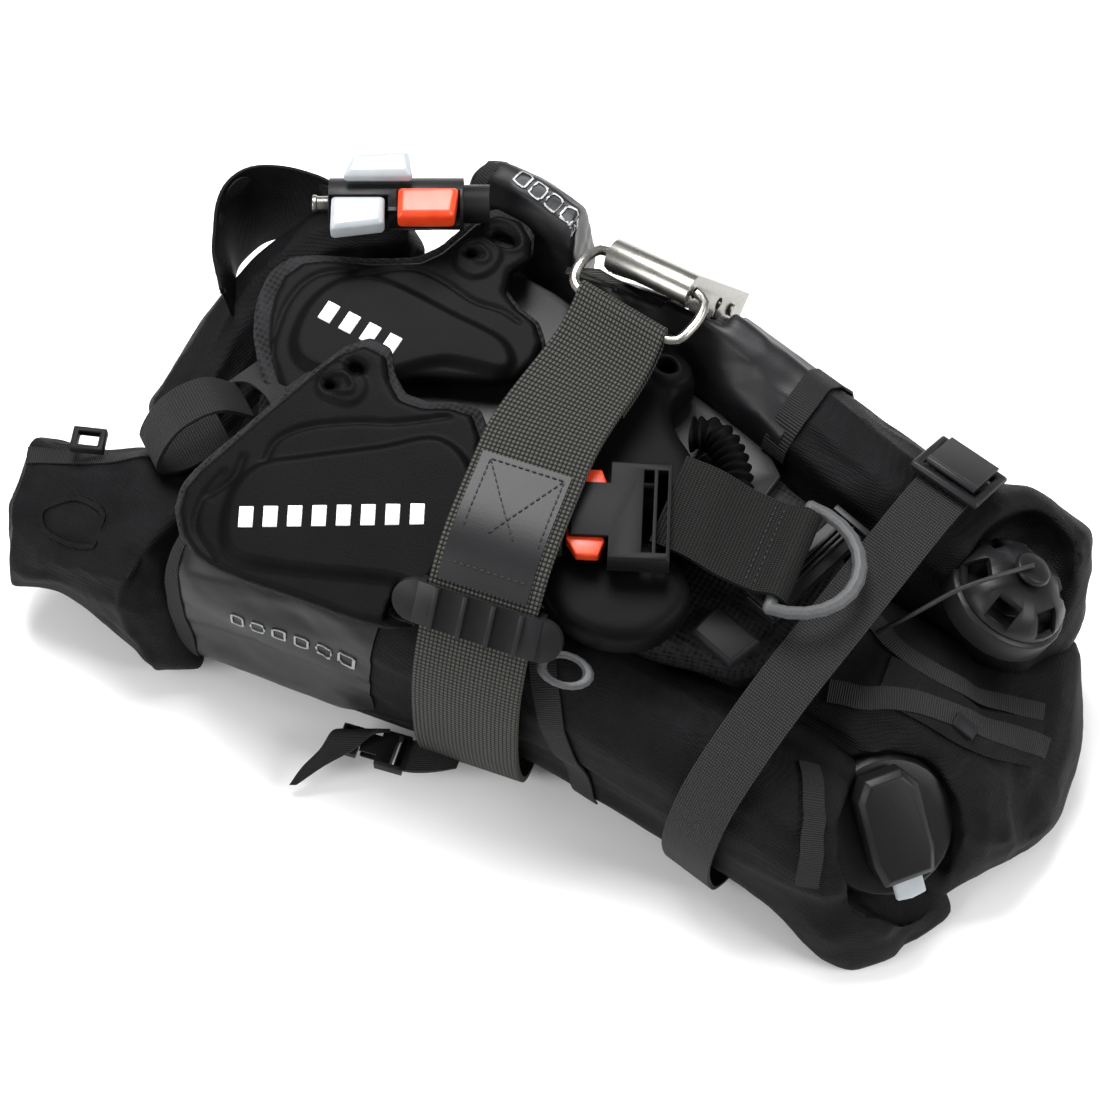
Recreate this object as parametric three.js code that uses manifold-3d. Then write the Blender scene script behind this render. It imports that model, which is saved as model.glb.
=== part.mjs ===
// A diver's buoyancy compensator vest, folded into a travel bundle that its own tank band holds shut.
// Millimetres, +Z up. The bundle lies on its back panel with the harness side up: X runs along the
// bundle towards the dump valves, Y across it, and the origin is under the middle of the bundle.
import * as THREE from 'three';
import { mergeVertices } from 'three/addons/utils/BufferGeometryUtils.js';
import Module from 'manifold-3d';

const wasm = await Module();
wasm.setup();

// ---------------------------------------------------------------- driving dimensions
const GAP = 0.4; // clearance that touching pieces keep
const BAND = { width: 50, thickness: 3, x: 14.5, turn: 11.1 }; // tank band: 2 inch webbing
const CINCH = { width: 26, thickness: 2, x: 164, turn: -8.2 }; // cinch strap: 1 inch webbing
const WAIST = { width: 46, thickness: 2.4 }; // waist belt webbing
const BACK = { left: -138, right: 150, half: 62, thickness: 8 }; // back panel that faces the cylinder
const CUSHION_TOP = 112;
const PLATE = { bottom: 113, thickness: 5 };
const PAD_THICKNESS = 9; // moulded shoulder and hip pads
const CAM = { at: [17, 86, 167], turn: -4, slope: -56, tilt: -9, wire: 2.4, hole: 2.9, width: 44, length: 58, reach: 26 };
const BUCKLE = { length: 44, half: 24.5, thickness: 12, z: 151 };
const RING = { wire: 3, half: 27, depth: 31 };
const REAR_VALVE = { radius: 29, at: [219, 58, 99], lean: [0.28, 0.34, 0.9] };
const HIP_VALVE = { radius: 33, at: [219, -50, 55], lean: [0.52, -0.38, 0.77] };
const CORD_RADIUS = 1.1;
const HOSE_RADIUS = 11;

const group = new THREE.Group();

// ---------------------------------------------------------------- materials
const finish = (color, roughness, metalness = 0) =>
  new THREE.MeshStandardMaterial({ color, roughness, metalness });
const MATERIAL = {
  shellFabric: finish(0x1f1f21, 0.75),
  coatedPanel: finish(0x2c2c2e, 0.5),
  meshFabric: finish(0x1a1a1c, 0.9),
  webbing: finish(0x222222, 0.8),
  mouldedPad: finish(0x2a2a2c, 0.6),
  framePlastic: finish(0x1c1c1e, 0.45),
  steel: finish(0xc4c4be, 0.25, 1),
  greyRing: finish(0x77797a, 0.45, 0.6),
  orange: finish(0xe8401c, 0.35),
  grey: finish(0xc3c8cc, 0.4),
  hose: finish(0x18181a, 0.55),
};

// ---------------------------------------------------------------- shape helpers
const radians = THREE.MathUtils.degToRad;
const SIDE_ON = new THREE.Matrix4().makeBasis(
  new THREE.Vector3(0, 1, 0), new THREE.Vector3(0, 0, 1), new THREE.Vector3(1, 0, 0));

function solidOf(geometry) {
  const bare = (geometry.index ? geometry.toNonIndexed() : geometry).clone();
  for (const name of Object.keys(bare.attributes)) {
    if (name !== 'position') bare.deleteAttribute(name);
  }
  const merged = mergeVertices(bare, 1e-3);
  return new wasm.Manifold(new wasm.Mesh({
    numProp: 3,
    vertProperties: merged.attributes.position.array,
    triVerts: new Uint32Array(merged.index.array),
  }));
}

function geometryOf(solid) {
  const mesh = solid.getMesh();
  return new THREE.BufferGeometry()
    .setAttribute('position', new THREE.BufferAttribute(new Float32Array(mesh.vertProperties), 3))
    .setIndex(new THREE.BufferAttribute(new Uint32Array(mesh.triVerts), 1));
}

const cut = (geometry, ...tools) =>
  geometryOf(tools.reduce((left, tool) => left.subtract(solidOf(tool)), solidOf(geometry)));
const join = (geometry, ...others) =>
  geometryOf(others.reduce((whole, other) => whole.add(solidOf(other)), solidOf(geometry)));
const common = (a, b) => geometryOf(solidOf(a).intersect(solidOf(b)));

// Keeps only the largest body of a geometry that a cut has left with crumbs.
function largest(geometry) {
  const bodies = solidOf(geometry).decompose();
  return geometryOf(bodies.reduce((best, body) => (body.volume() > best.volume() ? body : best)));
}

function node(name, material, geometry, parent = group) {
  const mesh = new THREE.Mesh(geometry, material);
  mesh.name = name;
  parent.add(mesh);
  return mesh;
}

function frameAt(x, y, z, turn = 0, parent = group) {
  const frame = new THREE.Group();
  frame.position.set(x, y, z);
  frame.rotation.z = radians(turn);
  parent.add(frame);
  return frame;
}

// The geometry as it lies in the bundle, for cutting its neighbours.
function placed(geometry, frame) {
  group.updateMatrixWorld(true);
  return geometry.clone().applyMatrix4(frame.matrixWorld);
}

// A cutter given in the bundle's own coordinates, turned into a frame's.
const inFrame = (geometry, frame) => geometry.clone().applyMatrix4(frame.matrixWorld.clone().invert());

function box(width, depth, height, x = 0, y = 0, z = 0) {
  return new THREE.BoxGeometry(width, depth, height).translate(x, y, z);
}

function rod(radius, length, axis, x = 0, y = 0, z = 0, sides = 20) {
  const geometry = new THREE.CylinderGeometry(radius, radius, length, sides);
  if (axis === 'x') geometry.rotateZ(Math.PI / 2);
  if (axis === 'z') geometry.rotateX(Math.PI / 2);
  return geometry.translate(x, y, z);
}

// A flat outline drawn in plan, with its round corners, extruded upwards from z = 0.
function plate(points, thickness, { bevel = 0, holes = [], smooth = false, steps = 40 } = {}) {
  const corners = points.map(([x, y]) => new THREE.Vector2(x, y));
  const outline = smooth ? closedOutline(points, 0, steps) : corners;
  const shape = new THREE.Shape(outline);
  for (const [x, y, radiusX, radiusY = radiusX] of holes) {
    shape.holes.push(new THREE.Path().absellipse(x, y, radiusX, radiusY, 0, 2 * Math.PI));
  }
  return new THREE.ExtrudeGeometry(shape, {
    depth: thickness - 2 * bevel,
    bevelEnabled: bevel > 0,
    bevelThickness: bevel,
    bevelSize: bevel,
    bevelOffset: -bevel,
    bevelSegments: 1,
    curveSegments: 10,
  }).translate(0, 0, bevel);
}

// A closed smooth outline through the points, moved outwards; the points run anticlockwise.
function closedOutline(points, outwards, steps = 56) {
  const curve = new THREE.CatmullRomCurve3(
    points.map(([across, up]) => new THREE.Vector3(across, up, 0)), true, 'centripetal');
  return Array.from({ length: steps }, (_, i) => {
    const at = curve.getPointAt(i / steps);
    const along = curve.getTangentAt(i / steps);
    return new THREE.Vector2(at.x + along.y * outwards, at.y - along.x * outwards);
  });
}

function acrossX(shape, width) {
  return new THREE.ExtrudeGeometry(shape, { depth: width, bevelEnabled: false, curveSegments: 12 })
    .translate(0, 0, -width / 2)
    .applyMatrix4(SIDE_ON);
}

// Webbing that closes on itself, drawn in (y, z).
function strapLoop(points, thickness, width) {
  const shape = new THREE.Shape(closedOutline(points, thickness / 2));
  shape.holes.push(new THREE.Path(closedOutline(points, -thickness / 2)));
  return acrossX(shape, width);
}

// Everything outside such a loop within its width: soft pieces are squeezed in to leave room for it.
function outsideLoop(points, thickness, width) {
  const reach = 260;
  const shape = new THREE.Shape([
    new THREE.Vector2(-reach, -reach), new THREE.Vector2(reach, -reach),
    new THREE.Vector2(reach, reach), new THREE.Vector2(-reach, reach)]);
  shape.holes.push(new THREE.Path(closedOutline(points, -thickness / 2 - GAP)));
  return acrossX(shape, width + 2 * GAP);
}

// Webbing with two ends, drawn in (y, z) along a smooth run.
function strip(points, thickness, steps) {
  const curve = new THREE.CatmullRomCurve3(points.map(([across, up]) => new THREE.Vector3(across, up, 0)));
  const side = (offset) => Array.from({ length: steps + 1 }, (_, i) => {
    const at = curve.getPointAt(i / steps);
    const along = curve.getTangentAt(i / steps);
    return new THREE.Vector2(at.x - along.y * offset, at.y + along.x * offset);
  });
  return new THREE.Shape([...side(-thickness / 2), ...side(thickness / 2).reverse()]);
}
const strapRun = (points, thickness, width, steps = 28) => acrossX(strip(points, thickness, steps), width);

// A round tube along a curve with flat ends.
function tube(points, radius, steps, sides) {
  const curve = new THREE.CatmullRomCurve3(points.map((p) => new THREE.Vector3(...p)));
  const section = new THREE.Shape(Array.from({ length: sides }, (_, i) =>
    new THREE.Vector2(Math.cos(2 * Math.PI * i / sides), Math.sin(2 * Math.PI * i / sides)).multiplyScalar(radius)));
  return new THREE.ExtrudeGeometry(section, { steps, extrudePath: curve });
}

const power = (value, exponent) => Math.sign(value) * Math.abs(value) ** exponent;

// A stuffed fabric form: a capped cylinder pulled over stations of [x, y, z, half width, half height, lean].
function softForm(stations, { sides = 14, rows = 12, square = 2.6, grow = 0, ends = 0.08 } = {}) {
  const path = new THREE.CatmullRomCurve3(stations.map(([x, y, z]) => new THREE.Vector3(x, y, z)));
  const girth = new THREE.CatmullRomCurve3(
    stations.map(([, , , half, rise, lean = 0]) => new THREE.Vector3(half, rise, lean)));
  const geometry = new THREE.CylinderGeometry(1, 1, 1, sides, rows);
  const at = geometry.attributes.position;
  for (let i = 0; i < at.count; i++) {
    const along = at.getY(i) + 0.5;
    const centre = path.getPoint(along);
    const heading = path.getTangent(along).setZ(0).normalize();
    const size = girth.getPoint(along);
    const toEnd = Math.min(along, 1 - along) / ends;
    const closing = toEnd < 1 ? 0.45 + 0.55 * Math.sqrt(1 - (1 - toEnd) ** 2) : 1;
    const angle = Math.atan2(at.getX(i), at.getZ(i));
    const radial = Math.hypot(at.getX(i), at.getZ(i)) * closing;
    const wide = power(Math.cos(angle), 2 / square) * (size.x + grow) * radial;
    const high = power(Math.sin(angle), 2 / square) * (size.y + grow) * radial;
    const lean = radians(size.z);
    const across = wide * Math.cos(lean) - high * Math.sin(lean);
    const stretch = grow * (2 * along - 1);
    at.setXYZ(i,
      centre.x - heading.y * across + heading.x * stretch,
      centre.y + heading.x * across + heading.y * stretch,
      centre.z + wide * Math.sin(lean) + high * Math.cos(lean));
  }
  return geometry;
}

const ABOVE_FLOOR = box(900, 900, 400, 0, 0, 200);

// ---------------------------------------------------------------- straps that hold the bundle
// The tank band runs under the back panel, up both sides and over the harness.
const bandFrame = frameAt(BAND.x, 0, 0, BAND.turn);
const BAND_PATH = [
  [-92, 2.6], [-76, 1.5], [-40, 1.5], [0, 1.5], [40, 1.5], [76, 1.5], [96, 4], [108, 16], [112, 50], [112, 85],
  [106, 112], [96, 130], [85, 145], [74, 153], [56, 160], [30, 162], [-30, 163], [-62, 161], [-82, 150],
  [-100, 126], [-111, 97], [-114, 56], [-110, 24], [-102, 7]];
const outsideBand = placed(outsideLoop(BAND_PATH, BAND.thickness, BAND.width), bandFrame);
const keeperFrame = frameAt(0, -91.8, 138.2, 0, bandFrame);
keeperFrame.rotation.x = radians(51);
const camFrame = frameAt(...CAM.at, CAM.turn);
// Its two ends meet at the cam buckle: one is sewn round the near bar, the other runs under the lever.
const bandEnds = inFrame(placed(box(90, CAM.reach - 14, 60, 0, 5 - CAM.reach / 2 - 2, 0), camFrame), bandFrame);
const bandEye = inFrame(placed(rod(5.6, 42, 'x', 0, -CAM.reach, -1, 16), camFrame), bandFrame);
const barRoom = inFrame(placed(rod(CAM.wire + 0.5, 80, 'x', 0, -CAM.reach, -1, 16), camFrame), bandFrame);
node('tank_band', MATERIAL.webbing, largest(cut(
  join(cut(strapLoop(BAND_PATH, BAND.thickness, BAND.width), bandEnds), bandEye), barRoom)), bandFrame);

// The cinch strap closes the valve end.
const cinchFrame = frameAt(CINCH.x, 0, 0, CINCH.turn);
const CINCH_PATH = [
  [-88, 3], [-74, 1.4], [-50, 1.4], [0, 1.4], [50, 1.4], [74, 1.4], [88, 4], [101, 18], [107, 60], [106, 100],
  [93, 124], [70, 133], [40, 131], [0, 124], [-40, 118], [-74, 104], [-97, 84], [-107, 52], [-101, 16]];
const cinch = strapLoop(CINCH_PATH, CINCH.thickness, CINCH.width);
const outsideCinch = placed(outsideLoop(CINCH_PATH, CINCH.thickness, CINCH.width), cinchFrame);
node('cinch_strap', MATERIAL.webbing, cinch, cinchFrame);

const squeezed = (geometry) =>
  geometryOf(solidOf(geometry).intersect(solidOf(ABOVE_FLOOR))
    .subtract(solidOf(outsideBand)).subtract(solidOf(outsideCinch)));

// ---------------------------------------------------------------- seats for the two dump valves
function valveFrame({ at, lean }) {
  const frame = frameAt(...at);
  frame.quaternion.setFromUnitVectors(new THREE.Vector3(0, 0, 1), new THREE.Vector3(...lean).normalize());
  return frame;
}
const rearFrame = valveFrame(REAR_VALVE);
const hipFrame = valveFrame(HIP_VALVE);
const VALVE_SINK = 10; // how deep a valve's flange sits in the fabric
const VALVE_ROOM = 70;
const seat = (radius) => rod(radius + GAP, VALVE_SINK + VALVE_ROOM, 'z', 0, 0, (VALVE_ROOM - VALVE_SINK) / 2 - GAP, 30);
const rearSeat = placed(seat(REAR_VALVE.radius), rearFrame);
const hipSeat = placed(seat(HIP_VALVE.radius), hipFrame);

// ---------------------------------------------------------------- wing: two lobes, end, corner, collar
const NEAR_LOBE = [
  [-124, -108, 42, 20, 39], [-104, -104, 52, 23, 51], [-50, -93, 56, 23, 56], [0, -83, 57, 23, 57],
  [50, -72, 56, 22, 56], [100, -68, 52, 24, 52], [150, -64, 47, 32, 47], [200, -64, 40, 34, 40],
  [232, -72, 27, 24, 27]];
const FAR_LOBE = [
  [-100, 114, 66, 12, 58], [-84, 112, 72, 15, 72], [-60, 110, 75, 16, 75], [0, 101, 76, 17, 76],
  [40, 95, 76, 18, 76], [80, 86, 74, 22, 74], [112, 79, 71, 27, 71], [145, 73, 68, 30, 68],
  [185, 70, 61, 33, 61], [225, 72, 54, 34, 54], [250, 72, 46, 26, 46]];
const lobe = (stations, grow = 0) => softForm(stations, { rows: 16, grow });
const nearLobe = squeezed(lobe(NEAR_LOBE));
const farLobe = squeezed(lobe(FAR_LOBE));
const nearLobeRoom = lobe(NEAR_LOBE, GAP);
const farLobeRoom = lobe(FAR_LOBE, GAP);

// The far lobe gives way to the cam buckle that is pressed into it.
const leverFrame = frameAt(0, 0, 0, 0, camFrame);
leverFrame.rotation.set(radians(CAM.slope), radians(CAM.tilt), 0, 'YXZ');
const LEVER = { below: 8, above: 8, wall: 2 };
const leverRoom = placed(box(CAM.width + 22, CAM.length + 12, 60, 0, CAM.length / 2, 30 - LEVER.below - 1), leverFrame);
const camRoom = placed(box(70, 46, 34, 0, -12, 17 - 9.4), camFrame);

node('near_lobe', MATERIAL.shellFabric, largest(cut(nearLobe, hipSeat)));
node('far_lobe', MATERIAL.shellFabric, largest(cut(farLobe, rearSeat, leverRoom, camRoom)));

const END_FOLD = [
  [152, 4, 44, 46, 42], [190, 0, 46, 44, 44], [226, 4, 38, 46, 36], [250, 20, 28, 38, 26], [276, 34, 13, 17, 11]];
node('end_fold', MATERIAL.shellFabric, largest(cut(squeezed(softForm(END_FOLD, { square: 3 })),
  nearLobeRoom, farLobeRoom, rearSeat, hipSeat)));
const endRoom = softForm(END_FOLD, { square: 3, grow: GAP });

// The corner of the wing that lies out past the near lobe, and the collar across the open end.
const LEFT_CORNER = [
  [-122, -106, 43, 38, 42, 0], [-150, -102, 44, 42, 36, -8], [-178, -104, 47, 38, 29, -14],
  [-200, -110, 51, 33, 20, -18], [-217, -115, 54, 28, 13, -20]];
const COLLAR = [
  [-158, -62, 42, 24, 30, -24], [-159, -24, 50, 24, 38, -26], [-158, 16, 56, 24, 44, -26],
  [-149, 48, 62, 22, 50, -20], [-126, 78, 66, 18, 52, -8], [-110, 94, 66, 11, 46, 0]];
const cornerRoom = softForm(LEFT_CORNER, { grow: GAP });
const collar = cut(squeezed(softForm(COLLAR)), cornerRoom, farLobeRoom);
const collarRoom = softForm(COLLAR, { grow: GAP });
node('wing_corner', MATERIAL.shellFabric, largest(cut(squeezed(softForm(LEFT_CORNER)), nearLobeRoom)));
node('wing_collar', MATERIAL.shellFabric, largest(collar));

// The shoulder flap stands up at the collar's far end, curled into an open loop.
const CURL = [[-136, 64], [-158, 66], [-178, 62], [-188, 50], [-186, 36], [-176, 20], [-165, 10]];
const flapStrip = new THREE.ExtrudeGeometry(strip(CURL, 2.6, 28), { depth: 52, bevelEnabled: false });
node('shoulder_flap', MATERIAL.shellFabric, largest(cut(flapStrip.translate(0, 0, 76), collarRoom, farLobeRoom)));

// ---------------------------------------------------------------- smooth side panels on both lobes
function sidePanel(stations, region) {
  const skin = cut(lobe(stations, 2.2), lobe(stations, GAP + 0.1));
  return largest(cut(common(skin, region), outsideBand, outsideCinch));
}
node('near_side_panel', MATERIAL.coatedPanel, sidePanel(NEAR_LOBE, box(92, 60, 72, -62, -128, 62)));
node('far_side_panel', MATERIAL.coatedPanel,
  sidePanel(FAR_LOBE, box(62, 60, 80, -56, 128, 118)));

// ---------------------------------------------------------------- back: panel, air cell, cushion, plate
const backOutline = [
  [BACK.left, -BACK.half + 4], [BACK.left + 12, -BACK.half - 4], [BACK.right - 40, -BACK.half + 10],
  [BACK.right, -30], [BACK.right, 34], [BACK.right - 40, BACK.half - 12], [BACK.left + 12, BACK.half + 6],
  [BACK.left, BACK.half - 4]];
node('back_panel', MATERIAL.meshFabric,
  cut(squeezed(plate(backOutline, BACK.thickness)), nearLobeRoom, farLobeRoom, collarRoom, cornerRoom, endRoom));
const AIR_CELL = [
  [-146, -4, 46, 46, 37], [-120, -6, 46, 66, 37.5], [-60, -6, 46, 78, 37.5], [30, -5, 46, 76, 37.5],
  [90, -2, 46, 60, 37.5], [148, 2, 46, 44, 37]];
node('air_cell', MATERIAL.shellFabric, largest(cut(squeezed(softForm(AIR_CELL, { square: 5, rows: 6 })),
  nearLobeRoom, farLobeRoom, collarRoom, cornerRoom, endRoom)));
const CUSHION = [
  [-128, -8, 98, 50, 13.5], [-90, -6, 98, 72, 14], [0, -4, 98, 80, 14], [80, 4, 98, 60, 14],
  [120, 6, 98, 50, 14], [158, 6, 97, 40, 12]];
node('back_cushion', MATERIAL.meshFabric, largest(cut(squeezed(softForm(CUSHION, { square: 4, rows: 8 })),
  nearLobeRoom, farLobeRoom, collarRoom, cornerRoom)));

const plateOutline = [
  [-66, -70], [20, -66], [52, -60], [70, -30], [84, 10], [104, 34], [106, 50], [92, 60], [70, 64],
  [20, 72], [-60, 80], [-80, 40], [-84, -30]];
const plateRecess = plate([[66, 34], [86, 28], [92, 46], [76, 56]], 3, { bevel: 0 }).translate(0, 0, PLATE.bottom + 3);
node('backplate', MATERIAL.framePlastic, largest(cut(
  plate(plateOutline, PLATE.thickness, { bevel: 1, smooth: true }).translate(0, 0, PLATE.bottom),
  plateRecess, nearLobeRoom, farLobeRoom)));

// ---------------------------------------------------------------- moulded shoulder yokes and hip pads
function leaningPad(outline, lowY, topAtLow, slope, options) {
  const frame = frameAt(0, lowY, topAtLow);
  frame.rotation.x = Math.atan(slope);
  const shape = plate(outline.map(([x, y]) => [x, y - lowY]), PAD_THICKNESS, options)
    .translate(0, 0, -PAD_THICKNESS);
  return { frame, shape };
}
const FAR_YOKE = [
  [-45, 80], [-52, 92], [-62, 96], [-74, 90], [-79, 76], [-86, 57], [-104, 45], [-139, 24], [-133, -8],
  [-98, -38], [-84, -29], [-64, -1], [-18, 26], [-20, 50], [-44, 58], [-50, 68]];
const NEAR_YOKE = [
  [-90, -9], [-96, -24], [-110, -66], [-118, -102], [-100, -121], [-46, -117], [4, -104], [8, -80],
  [0, -40], [-22, -6], [-50, -16], [-62, -12], [-70, -1], [-80, 1]];
const farYoke = leaningPad(FAR_YOKE, -38, 128, 0.11,
  { bevel: 2, smooth: true, steps: 36, holes: [[-61, 121, 6, 3.4], [-70, 107, 3, 2]] });
const nearYoke = leaningPad(NEAR_YOKE, -121, 124, 0.2,
  { bevel: 2, smooth: true, steps: 36, holes: [[-80, 109, 4, 2.6], [-86, 96, 3, 2]] });
group.updateMatrixWorld(true);
node('shoulder_yoke_far', MATERIAL.mouldedPad,
  largest(cut(farYoke.shape, inFrame(farLobeRoom, farYoke.frame), inFrame(outsideBand, farYoke.frame))), farYoke.frame);
node('shoulder_yoke_near', MATERIAL.mouldedPad,
  largest(cut(nearYoke.shape, inFrame(nearLobeRoom, nearYoke.frame), inFrame(outsideBand, nearYoke.frame),
    inFrame(placed(box(84, 34, 24), keeperFrame), nearYoke.frame))), nearYoke.frame);

const HIP_FAR = [
  [24, 62], [18, 40], [16, 16], [22, -8], [44, -14], [70, -6], [84, 8], [74, 26], [56, 38], [50, 50],
  [54, 62], [40, 72]];
const HIP_NEAR = [[44, -44], [48, -64], [74, -72], [100, -60], [106, -34], [90, -20], [66, -22]];
node('hip_pad_far', MATERIAL.mouldedPad, largest(cut(
  plate(HIP_FAR, 22, { bevel: 3.5, smooth: true }).translate(0, 0, 119),
  rod(1, 80, 'z').scale(6, 3.4, 1).translate(39, 61, 130), farLobeRoom, outsideBand)));
node('hip_pad_near', MATERIAL.mouldedPad, largest(cut(
  plate(HIP_NEAR, 20, { bevel: 3.5, smooth: true }).translate(0, 0, 119), nearLobeRoom, outsideBand)));

// ---------------------------------------------------------------- tank band hardware
// Stitched patch where the band's two layers are sewn together.
node('band_patch', MATERIAL.webbing, largest(common(
  cut(strapLoop(BAND_PATH, BAND.thickness + 3, 39), strapLoop(BAND_PATH, BAND.thickness + 2 * GAP, 60)),
  box(44, 53, 40, 0, -40.5, 172))), bandFrame);

// Ribbed keeper that stops the band slipping: a sleeve round the band with a wing on each side.
const KEEPER = { length: 20, height: 8, wing: 9, rib: 2 };
const keeperSleeve = cut(
  box(BAND.width + 7, KEEPER.length, KEEPER.height),
  box(BAND.width + 1.2, KEEPER.length + 2, BAND.thickness + 3, 0, 0, -0.6));
const keeperWings = [-1, 1].map((side) =>
  rod(KEEPER.length / 2, 4, 'z', side * (BAND.width / 2 + KEEPER.wing - 5), 0, 1.8, 20));
const keeperRibs = [-1.5, -0.5, 0.5, 1.5].map((step) =>
  box(KEEPER.rib, KEEPER.length, 2.4, step * 13, 0, KEEPER.height / 2 + 1));
const keeperBody = join(keeperSleeve, ...keeperWings.map((wing) =>
  cut(wing, box(BAND.width + 2, 40, 6, 0, 0, 0))), ...keeperRibs);
group.updateMatrixWorld(true);
const bandInKeeper = inFrame(placed(strapLoop(BAND_PATH, BAND.thickness + 2 * GAP, BAND.width + 1), bandFrame), keeperFrame);
node('band_keeper', MATERIAL.framePlastic, largest(cut(keeperBody, bandInKeeper)), keeperFrame);

// Cam buckle: a wire bail hooks into the sides of a boxed lever whose near edge curls round the hinge.
const cheekRise = 22.5 * Math.sin(radians(-CAM.tilt)); // the tilted lever lifts the wire's far right end
const bailCorner = [[-22.3, 0, -cheekRise], [-27.5, -1, -0.8 * cheekRise], [-30, -7, 0.4 - 0.4 * cheekRise],
  [-30, -16, 0.6], [-28, -23, -0.6], [-22, -26, -1], [-12, -26, -1]];
const bail = [...bailCorner, [0, -26, -1],
  ...bailCorner.map(([x, y, z]) => [-x, y, y > -10 ? 1 - z : z]).reverse()];
node('cam_bail', MATERIAL.steel, tube(bail, CAM.wire, 36, 8), camFrame);

const leverLength = CAM.length;
const leverBlock = box(CAM.width, leverLength, 16, 0, leverLength / 2 + 1, 0);
const leverHollow = box(CAM.width - 2 * LEVER.wall, leverLength + 30, 16, 0, leverLength / 2 + 12, -LEVER.wall);
const lip = new THREE.Shape();
lip.absarc(0, 0, LEVER.above, 0.5 * Math.PI, 1.3 * Math.PI, false);
lip.absarc(0, 0, LEVER.above - LEVER.wall, 1.3 * Math.PI, 0.5 * Math.PI, true);
const leverTop = box(CAM.width, 3, LEVER.wall, 0, 1.4, LEVER.above - LEVER.wall / 2);
const leverCheeks = [-1, 1].map((side) => rod(LEVER.above - 0.5, LEVER.wall, 'x',
  side * (CAM.width - LEVER.wall) / 2, 0, 0, 16));
node('cam_lever', MATERIAL.steel, largest(cut(
  join(cut(leverBlock, leverHollow, box(80, 20, 20, 0, -10, 0)), acrossX(lip, CAM.width), leverTop, ...leverCheeks),
  rod(CAM.hole, 80, 'x', 0, 0, 0, 12), rod(3, 80, 'x', 0, 30, -1, 12), box(80, 3, 12, 0, 30, -7),
  rod(2.4, 80, 'x', 0, 46, -2, 12))), leverFrame);
node('cam_roller', MATERIAL.steel, join(rod(2, CAM.width + 3, 'x', 0, 46, -2), rod(3, 1.2, 'x', -CAM.width / 2 - 1, 46, -2),
  rod(3, 1.2, 'x', CAM.width / 2 + 1, 46, -2)), leverFrame);

// ---------------------------------------------------------------- quick-release buckles
// Along +x the socket ends at x = 0; the plug enters from -x and its latches show in the side notches.
function buckleSocket(length, half, thickness) {
  const shoulder = half * 0.84;
  const body = plate([[-length, -shoulder], [-length * 0.74, -half], [0, -half], [0, half],
    [-length * 0.74, half], [-length, shoulder]], thickness, { bevel: 1 }).translate(0, 0, -thickness / 2);
  const mouth = box(length * 0.66, half * 1.4, thickness * 0.62, -length * 0.69, 0, 0);
  const notches = [-1, 1].map((side) =>
    box(length * 0.42, half, thickness * 2, -length * 0.82, side * half * 1.04, 0));
  const webSlots = [-length * 0.23, -length * 0.09].map((x) =>
    box(length * 0.1, half * 1.66, thickness * 2, x, 0, 0));
  return cut(body, mouth, ...notches, ...webSlots);
}
function bucklePlug(length, half, thickness) {
  const grip = plate([[-length * 1.5, -half * 0.8], [-length * 1.06, -half * 0.8], [-length * 1.06, half * 0.8],
    [-length * 1.5, half * 0.8]], thickness * 0.8, { bevel: 1 }).translate(0, 0, -thickness * 0.4);
  const tongue = box(length * 0.64, half * 0.24, thickness * 0.5, -length * 0.76, 0, 0);
  const slot = box(length * 0.12, half * 1.3, thickness * 2, -length * 1.36, 0, 0);
  return cut(join(grip, tongue), slot);
}
// A latch arm, drawn from its flexing root at the origin: it bulges out where a thumb presses it.
function latchArm(length, half, thickness, side) {
  return plate([[0.5, 0], [length * 0.36, 0], [length * 0.4, half * 0.2], [length * 0.34, half * 0.5],
    [length * 0.12, half * 0.5], [0.5, half * 0.2]], thickness * 0.5)
    .translate(0, 0, -thickness * 0.25).scale(1, side, 1);
}

const waistFrame = frameAt(82, -11, BUCKLE.z, 28);
node('waist_buckle_socket', MATERIAL.framePlastic,
  buckleSocket(BUCKLE.length, BUCKLE.half, BUCKLE.thickness), waistFrame);
node('waist_buckle_plug', MATERIAL.framePlastic,
  bucklePlug(BUCKLE.length, BUCKLE.half, BUCKLE.thickness), waistFrame);
for (const [name, side] of [['buckle_latch_far', 1], ['buckle_latch_near', -1]]) {
  const arm = latchArm(BUCKLE.length, BUCKLE.half, BUCKLE.thickness, side);
  if (side < 0) flipFaces(arm);
  node(name, MATERIAL.orange, arm, frameAt(-BUCKLE.length * 1.04, side * 9, 0, 0, waistFrame));
}
function flipFaces(geometry) {
  const at = geometry.attributes.position;
  for (let i = 0; i < at.count; i += 3) {
    const [x, y, z] = [at.getX(i), at.getY(i), at.getZ(i)];
    at.setXYZ(i, at.getX(i + 1), at.getY(i + 1), at.getZ(i + 1));
    at.setXYZ(i + 1, x, y, z);
  }
}

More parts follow.
